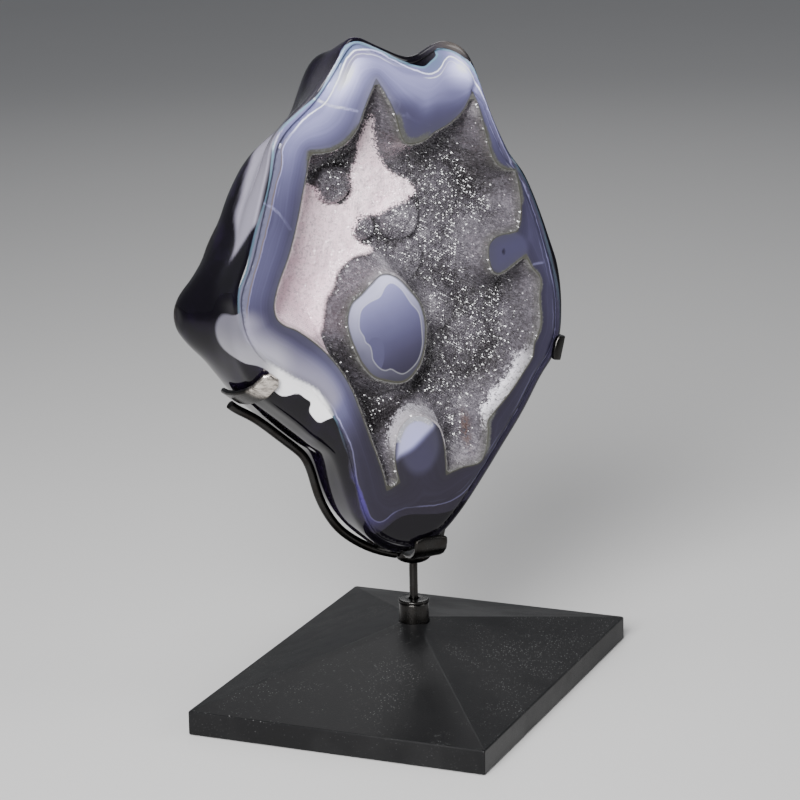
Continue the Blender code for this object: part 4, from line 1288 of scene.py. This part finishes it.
@dataclass
class CrystalLining:
    """The hollow's lining of small quartz crystals, each with its flat sides.

    The crystals carry painted shade: darker where the hollow is deepest, with a painted shadow along the skirt
    and the crease, and painted light on each knob's top with painted shade round its foot. A patch is a place
    on the face, how far it reaches and what it adds to their lightness: painted shade under the upper right
    corner and round the top lobe, at the lower right, at the skirt's foot and below the stalactite, painted
    light on the crests and over the bottom lobe.
    """

    hollow: Hollow
    face_y: float = -38 * MM
    line_step: float = 0.9
    pitch: float = 1.55
    fine_pitch: float = 1.15
    shift: float = 0.3
    lip: float = 0.7
    back_step: float = 4.0
    # Painted shade and light: the crystals' level, the extra shade at the hollow's floor, and the patches
    mean_shade: float = 0.49
    pocket_shade: float = 0.1
    shaded: tuple[Spot, ...] = (
        (32, 309, 28, -0.26), (-2, 319, 20, -0.14), (-21, 336, 15, -0.2), (-52, 320, 20, -0.12))
    shaded_low: tuple[Spot, ...] = (
        (30, 245, 28, -0.16), (50, 238, 15, -0.14), (39, 202, 26, -0.2), (-58, 214, 20, -0.22),
        (-37, 176, 22, -0.3))
    lit: tuple[Spot, ...] = (
        (24, 346, 8, 0.4), (-5, 280, 20, 0.22), (-31, 263, 8, 0.3), (1, 230, 16, 0.16), (-9, 174, 14, 0.3),
        (16, 146, 14, 0.18))

    def build(self) -> bpy.types.Object:
        """The lining as one closed mesh: crystals in front, a plain back on the hollow."""
        edge = self._inset(hollow_line(self.line_step), 0.12)
        stalactite = self._inset(closed_line(STALACTITE_EDGE, self.line_step), -0.12)
        top, top_faces, top_depths, peaks = self._crystals(edge, stalactite)
        back, back_faces, back_depths = self._back(edge, stalactite)
        vertices = np.vstack([on_stone(top, top_depths, self.face_y),
                              on_stone(back, back_depths, self.face_y)])
        faces = [*top_faces, *([i + len(top) for i in face] for face in back_faces)]
        lining = mesh_object("crystal_lining", vertices, faces)
        self._measure(lining, np.concatenate([peaks, np.zeros(len(back))]), edge, stalactite)
        weld(lining)
        return lining

    def _inset(self, line: np.ndarray, distance: float) -> np.ndarray:
        """The closed clockwise line moved inwards."""
        before = line - np.roll(line, 1, axis=0)
        after = np.roll(line, -1, axis=0) - line
        sides = [np.stack([d[:, 1], -d[:, 0]], axis=1) / np.linalg.norm(d, axis=1)[:, None]
                 for d in (before, after)]
        middle = sides[0] + sides[1]
        middle /= np.linalg.norm(middle, axis=1)[:, None]
        return line + middle * distance / np.maximum((middle * sides[0]).sum(1), 0.35)[:, None]

    def _kept(self, points: np.ndarray, edge: np.ndarray, stalactite: np.ndarray,
              margin: float) -> np.ndarray:
        """Which points lie in the hollow, clear of its edges."""
        kept = within(points, edge) & ~within(points, stalactite)
        kept[kept] = distance_to(points[kept], edge) > margin
        kept[kept] = distance_to(points[kept], stalactite) > margin
        return kept

    def _faces_within(self, points: np.ndarray, faces: list[list[int]], edge: np.ndarray,
                      stalactite: np.ndarray) -> list[list[int]]:
        """The triangles that lie in the hollow."""
        middles = points[np.array(faces)].mean(axis=1)
        inside = within(middles, edge) & ~within(middles, stalactite)
        return [face for face, keep in zip(faces, inside) if keep]

    def _crystals(self, edge: np.ndarray,
                  stalactite: np.ndarray) -> tuple[np.ndarray, list[list[int]], np.ndarray, np.ndarray]:
        """The free side.

        Args:
            edge: the hollow's edge.
            stalactite: the stalactite's edge.

        Returns:
            The places, the triangles over them, their depths and how much of a peak each one is.
        """
        white = closed_line(WHITE_CRYSTALS, 2)
        chance = np.random.default_rng(21)
        places, rises = [], []
        for pitch, seed, in_white in ((self.fine_pitch, 31, True), (self.pitch, 32, False)):
            points, peak = honeycomb(pitch / math.sqrt(3), self.shift, seed)
            kept = self._kept(points, edge, stalactite, 0.45)
            points, peak = points[kept], peak[kept]
            chosen = within(points, white) == in_white
            points, peak = points[chosen], peak[chosen]
            places.append(points)
            rises.append(np.where(peak, pitch * chance.uniform(0.2, 0.62, len(points)), 0))
        loose = np.vstack(places)
        points, faces = triangulate(loose, (edge, stalactite))
        rise = np.zeros(len(points))
        rise[:len(loose)] = np.concatenate(rises)
        from_edge = np.minimum(distance_to(points, edge), distance_to(points, stalactite))
        clusters = 1 + 0.6 * rough(points, 7, 8)
        depths = self.hollow.depths(points, from_edge) - self.hollow.crust
        depths += (0.9 * rough(points, 5, 4) * eased(from_edge, 2, 6)
                   - rise * clusters * eased(from_edge, 0.6, 2.4))
        depths = np.maximum(depths, 0.12 + 0.15 * eased(from_edge, self.lip, self.lip + 1))
        depths = np.where(from_edge < self.lip, 0.05, depths)
        return points, self._faces_within(points, faces, edge, stalactite), depths, eased(rise, 0, 1)

    def _back(self, edge: np.ndarray,
              stalactite: np.ndarray) -> tuple[np.ndarray, list[list[int]], np.ndarray]:
        """The side that lies on the stone, as places, triangles and depths."""
        coarse, _ = honeycomb(self.back_step, 0.1, 3)
        coarse = coarse[self._kept(coarse, edge, stalactite, 1.5)]
        points, faces = triangulate(coarse, (edge, stalactite))
        from_edge = np.minimum(distance_to(points, edge), distance_to(points, stalactite))
        depths = np.where(from_edge < 0.01, 0.05, self.hollow.depths(points, from_edge) - 0.4)
        return points, self._faces_within(points, faces, edge, stalactite), depths

    def _measure(self, lining: bpy.types.Object, peaks: np.ndarray, edge: np.ndarray,
                 stalactite: np.ndarray) -> None:
        """Stores each point's share of a peak and how far it is inside the tinted stretches."""
        places = face_places(lining)
        from_edge = np.minimum(distance_to(places, edge), distance_to(places, stalactite))
        skirt = distance_to(places, smooth_through(SKIRT_LINE, False), False)
        crease = distance_to(places, smooth_through(CREASE, False), False)
        # Painted shade and light: a shadow along the skirt and the crease, the patches, and more shade at the
        # hollow's floor
        shade = self.mean_shade - 0.25 * eased(-skirt, -2.4, -0.4) - 0.2 * eased(-crease, -4, -0.5)
        for across, height, reach, change in (*self.shaded, *self.shaded_low, *self.lit):
            shade += change * near(places, (across, height), reach)
        shade -= self.pocket_shade * eased(self.hollow.depths(places, from_edge), self.hollow.floor - 3,
                                           self.hollow.floor + 1)
        # Painted light on each knob's top and painted shade in a ring round its foot
        for across, height, size, rise in self.hollow.knobs:
            away = np.linalg.norm(places - (across, height), axis=1) / size
            shade += 0.014 * rise * (np.maximum(1 - away, 0) - np.exp(-(((away - 1.12) / 0.16) ** 2)))
        numbers = {
            "peak": peaks,
            "shade": shade,
            "white": depth_inside(places, closed_line(WHITE_CRYSTALS, 2)),
            "snow": np.maximum(depth_inside(places, closed_line(SNOWY_WALL, 2)),
                               depth_inside(places, closed_line(FRINGE, 2))),
            "snow_light": np.where(places[:, 0] > 15, eased(-places[:, 1], -212, -186), 0.35),
            "skirt": skirt,
            "rose": eased(-places[:, 1], -290, -250) * eased(-places[:, 0], 50, 75),
            "rust": near(places, (22.5, 159), 8, 2, (3.2, 0.5)),
            "ring_light": np.maximum(near(places, (-33, 264), 22, 8), near(places, (-15, 172), 26, 18)),
            "ring": eased(-from_edge, -3.4, -1),
            "lip": eased(-from_edge, -self.lip, -self.lip + 0.4),
        }
        keep_numbers(lining, numbers)


@dataclass
class Base:
    """The box with its low pyramid, the socket in its tip and its worn edges."""

    width: float = 180 * MM
    length: float = 240 * MM
    edge_height: float = 14 * MM
    rise: float = 28.5 * MM
    turn: float = math.radians(-51)
    edge_round: float = 0.8 * MM
    socket_radius: float = 9.2 * MM
    socket_floor: float = 31.6 * MM

    def build(self) -> bpy.types.Object:
        """A cube at the base's size, its top raised to a point, its edges rounded and its tip bored."""
        bpy.ops.object.select_all(action="DESELECT")
        bpy.ops.mesh.primitive_cube_add(size=1, location=(0, 0, self.edge_height / 2),
                                        rotation=(0, 0, self.turn),
                                        scale=(self.width, self.length, self.edge_height))
        base = bpy.context.active_object
        base.name = "pyramid_base"
        base.data.name = "pyramid_base"
        bpy.ops.object.transform_apply(location=True, rotation=True, scale=True)
        select_faces(base, lambda face: face.normal.z > 0.9)
        bpy.ops.object.mode_set(mode="EDIT")
        bpy.ops.mesh.poke(offset=self.rise)
        bpy.ops.mesh.select_all(action="SELECT")
        bpy.ops.mesh.bevel(offset=self.edge_round, segments=3, material=1)
        bpy.ops.object.mode_set(mode="OBJECT")
        self._bore(base)
        bpy.ops.object.shade_smooth_by_angle(angle=math.radians(9))
        return base

    def _bore(self, base: bpy.types.Object) -> None:
        """Cuts the socket that the collar stands in."""
        bpy.ops.object.select_all(action="DESELECT")
        bpy.ops.mesh.primitive_cylinder_add(vertices=96, radius=self.socket_radius, depth=0.04,
                                            location=(0, 0, self.socket_floor + 0.02))
        cutter = bpy.context.active_object
        add_modifier(base, "BOOLEAN", operation="DIFFERENCE", object=cutter, solver="EXACT")
        bpy.data.objects.remove(cutter)
        select_only(base)


@dataclass
class Stand:
    """The post in its collar, the hub on it, and the arms, claws and tongue that hold the stone."""

    collar_radius: float = 8.8 * MM
    collar_top: float = 54 * MM
    collar_foot: float = 32 * MM
    bore: float = 2.9 * MM
    lip_proud: float = 0.5 * MM
    lip_height: float = 1.6 * MM
    post_radius: float = 2.5 * MM
    post_top: float = 76.5 * MM
    hub_radius: float = 11 * MM
    hub_foot: float = 76.9 * MM
    hub_top: float = 85 * MM
    hub_neck: float = 3.6 * MM

    def collar(self) -> bpy.types.Object:
        """The bush with its proud lip and the fine groove under it."""
        lip = self.collar_radius + self.lip_proud
        lip_foot = self.collar_top - self.lip_height
        groove = 0.5 * MM
        profile = [
            (self.bore, self.collar_top - 0.4 * MM), (self.bore + 0.4 * MM, self.collar_top),
            (self.collar_radius, self.collar_top), (lip, self.collar_top - self.lip_proud), (lip, lip_foot),
            (self.collar_radius - groove, lip_foot - groove), (self.collar_radius, lip_foot - 2 * groove),
            (self.collar_radius, self.collar_foot), (self.bore, self.collar_foot),
            (self.bore, self.collar_top - 0.4 * MM)]
        piece = turned("collar_bush", profile)
        weld(piece)
        soften_edges(piece, 0.18 * MM, 2)
        return piece

    def post(self) -> bpy.types.Object:
        """The round post with its chamfered ends."""
        foot = self.collar_foot + 0.4 * MM
        chamfer = 0.5 * MM
        profile = [(self.post_radius - chamfer, foot), (self.post_radius, foot + chamfer),
                   (self.post_radius, self.post_top - chamfer), (self.post_radius - chamfer, self.post_top)]
        piece = turned("turning_post", profile, 64)
        close_ends(piece)
        soften_edges(piece, 0.1 * MM, 2)
        return piece

    def hub(self) -> bpy.types.Object:
        """The bowl-shaped disc under the stone."""
        rim_foot = self.hub_top - 3 * MM
        flare = self.hub_radius - self.hub_neck
        sweep = [math.radians(a) for a in range(90, -1, -10)]
        bowl = [(self.hub_neck + flare * math.cos(t), rim_foot - (rim_foot - self.hub_foot) * math.sin(t))
                for t in sweep]
        profile = [*bowl, (self.hub_radius, self.hub_top - 1 * MM), (self.hub_radius - 1 * MM, self.hub_top)]
        piece = turned("hub_bowl", profile)
        close_ends(piece)
        soften_edges(piece, 0.25 * MM, 3)
        return piece

    def arm(self, node: str) -> bpy.types.Object:
        """A rod, made rounder and smoother than the frame's."""
        piece = welded_copy(node, node + "_rod")
        select_only(piece)
        bpy.ops.object.mode_set(mode="EDIT")
        bpy.ops.mesh.select_mode(type="EDGE")
        sharp = math.radians(60)
        select_edges(piece, lambda edge: len(edge.link_faces) == 2 and edge.calc_face_angle(0) > sharp)
        bpy.ops.transform.edge_crease(value=1)
        bpy.ops.mesh.select_all(action="SELECT")
        bpy.ops.transform.shrink_fatten(value=0.15 * MM)
        bpy.ops.object.mode_set(mode="OBJECT")
        add_modifier(piece, "SUBSURF", levels=2, render_levels=2)
        select_only(piece)
        bpy.ops.object.shade_smooth_by_angle(angle=math.radians(50))
        return piece

    def bar(self, node: str) -> bpy.types.Object:
        """A claw's bar with its edges softened."""
        piece = welded_copy(node, node + "_bar")
        soften_edges(piece, 0.22 * MM, 2, 24)
        return piece


# The studio


@dataclass
class Studio:
    """A pale floor, soft lights and the camera."""

    camera_place: Vector
    camera_aim: Vector
    camera_roll: float = math.radians(-1)
    lens: float = 135
    stone_middle: Vector = field(default_factory=lambda: Vector((-0.02, -0.03, 0.25)))
    floor_size: float = 12
    floor_pale: Colour = (0.58, 0.575, 0.57)
    floor_cloud: Colour = (0.52, 0.516, 0.512)
    surround: Colour = (0.9, 0.93, 1)
    surround_strength: float = 0.19

    def floor(self) -> None:
        """A wide pale floor."""
        bpy.ops.object.select_all(action="DESELECT")
        bpy.ops.mesh.primitive_plane_add(size=self.floor_size, location=(0, 0, -0.0005))
        plane = bpy.context.active_object
        plane.name = "studio_floor"
        s = Surface("pale_floor")
        cloud = s.noise(3, 3, 0.5)
        plane.data.materials.append(s.finish({
            "Base Color": s.mix(cloud * 0.3, self.floor_pale, self.floor_cloud),
            "Roughness": 0.65 + cloud * 0.1,
        }))

    def camera(self) -> None:
        """The camera at the photograph's viewing angle."""
        data = bpy.data.cameras.new("studio_camera")
        data.lens = self.lens
        data.sensor_width = 36
        data.clip_end = 50
        camera = bpy.data.objects.new("studio_camera", data)
        bpy.context.scene.collection.objects.link(camera)
        look = (self.camera_aim - self.camera_place).to_track_quat("-Z", "Y").to_matrix().to_4x4()
        roll = Matrix.Rotation(self.camera_roll, 4, "Z")
        camera.matrix_world = Matrix.Translation(self.camera_place) @ look @ roll
        bpy.context.scene.camera = camera

    def softbox(self, name: str, place: Vector, size: Pair, power: float, spread: float) -> None:
        """One soft rectangular light, turned towards the stone.

        Args:
            name: the light's name.
            place: where it hangs.
            size: its width and height in metres.
            power: its power in watts.
            spread: how wide it shines, in degrees.
        """
        data = bpy.data.lights.new(name, "AREA")
        data.shape = "RECTANGLE"
        data.size, data.size_y = size
        data.energy = power
        data.spread = math.radians(spread)
        light = bpy.data.objects.new(name, data)
        light.location = place
        light.rotation_euler = (self.stone_middle - place).to_track_quat("-Z", "Y").to_euler()
        bpy.context.scene.collection.objects.link(light)

    def lights(self) -> None:
        """The key from the left, a fill from the front right, a top light and a dim surround."""
        self.softbox("key", Vector((-1.15, -1.15, 1.05)), (0.9, 0.9), 17, 75)
        self.softbox("top", Vector((-0.35, -0.2, 1.5)), (0.8, 0.8), 8, 160)
        self.softbox("back", Vector((1.15, 2.15, 1.6)), (1.0, 0.8), 2.6, 110)
        self.softbox("fill", Vector((1.2, -0.9, 0.9)), (0.7, 0.7), 1.3, 75)
        world = bpy.data.worlds.new("studio_surround")
        world.use_nodes = True
        background = world.node_tree.nodes["Background"]
        background.inputs["Color"].default_value = (*self.surround, 1)
        background.inputs["Strength"].default_value = self.surround_strength
        bpy.context.scene.world = world


def dress_stand() -> None:
    """Builds and dresses the base, collar, post, hub, arms, claws and tongue."""
    paint = BlackPaint()
    base = Base().build()
    base.data.materials.append(paint.material())
    base.data.materials.append(paint.worn_edge())
    settle(base, Body.BASE, Slot.PAINT, base.data.materials[0], "base")
    steel = DarkSteel().material()
    stand = Stand()
    settle(stand.collar(), Body.BASE, Slot.STEEL, steel, "collar")
    settle(stand.post(), Body.CRADLE, Slot.STEEL, steel, "post")
    settle(stand.hub(), Body.CRADLE, Slot.STEEL, steel, "hub")
    for node in ("left_arm", "right_arm"):
        settle(stand.arm(node), Body.CRADLE, Slot.STEEL, steel, node)
    for node in ("left_claw", "right_claw", "front_tongue"):
        settle(stand.bar(node), Body.CRADLE, Slot.STEEL, steel, node)


def main() -> None:
    """Builds the scene in order: studio, stone, crystals, stand."""
    logging.basicConfig(level=logging.INFO, format="%(name)s: %(message)s")
    studio = Studio(camera_place=Vector((-0.7986, -1.4728, 0.6150)),
                    camera_aim=Vector((-0.0202, -0.0247, 0.1825)))
    studio.camera()
    studio.floor()
    studio.lights()
    hollow = Hollow()
    settle(Stone(hollow).build(), Body.CRADLE, Slot.AGATE, AgateFinish().material(), "agate")
    lining = CrystalLining(hollow).build()
    settle(lining, Body.CRADLE, Slot.CRYSTAL, CrystalFinish().material(), "crystal_crust")
    dress_stand()


if __name__ == "__main__":
    main()
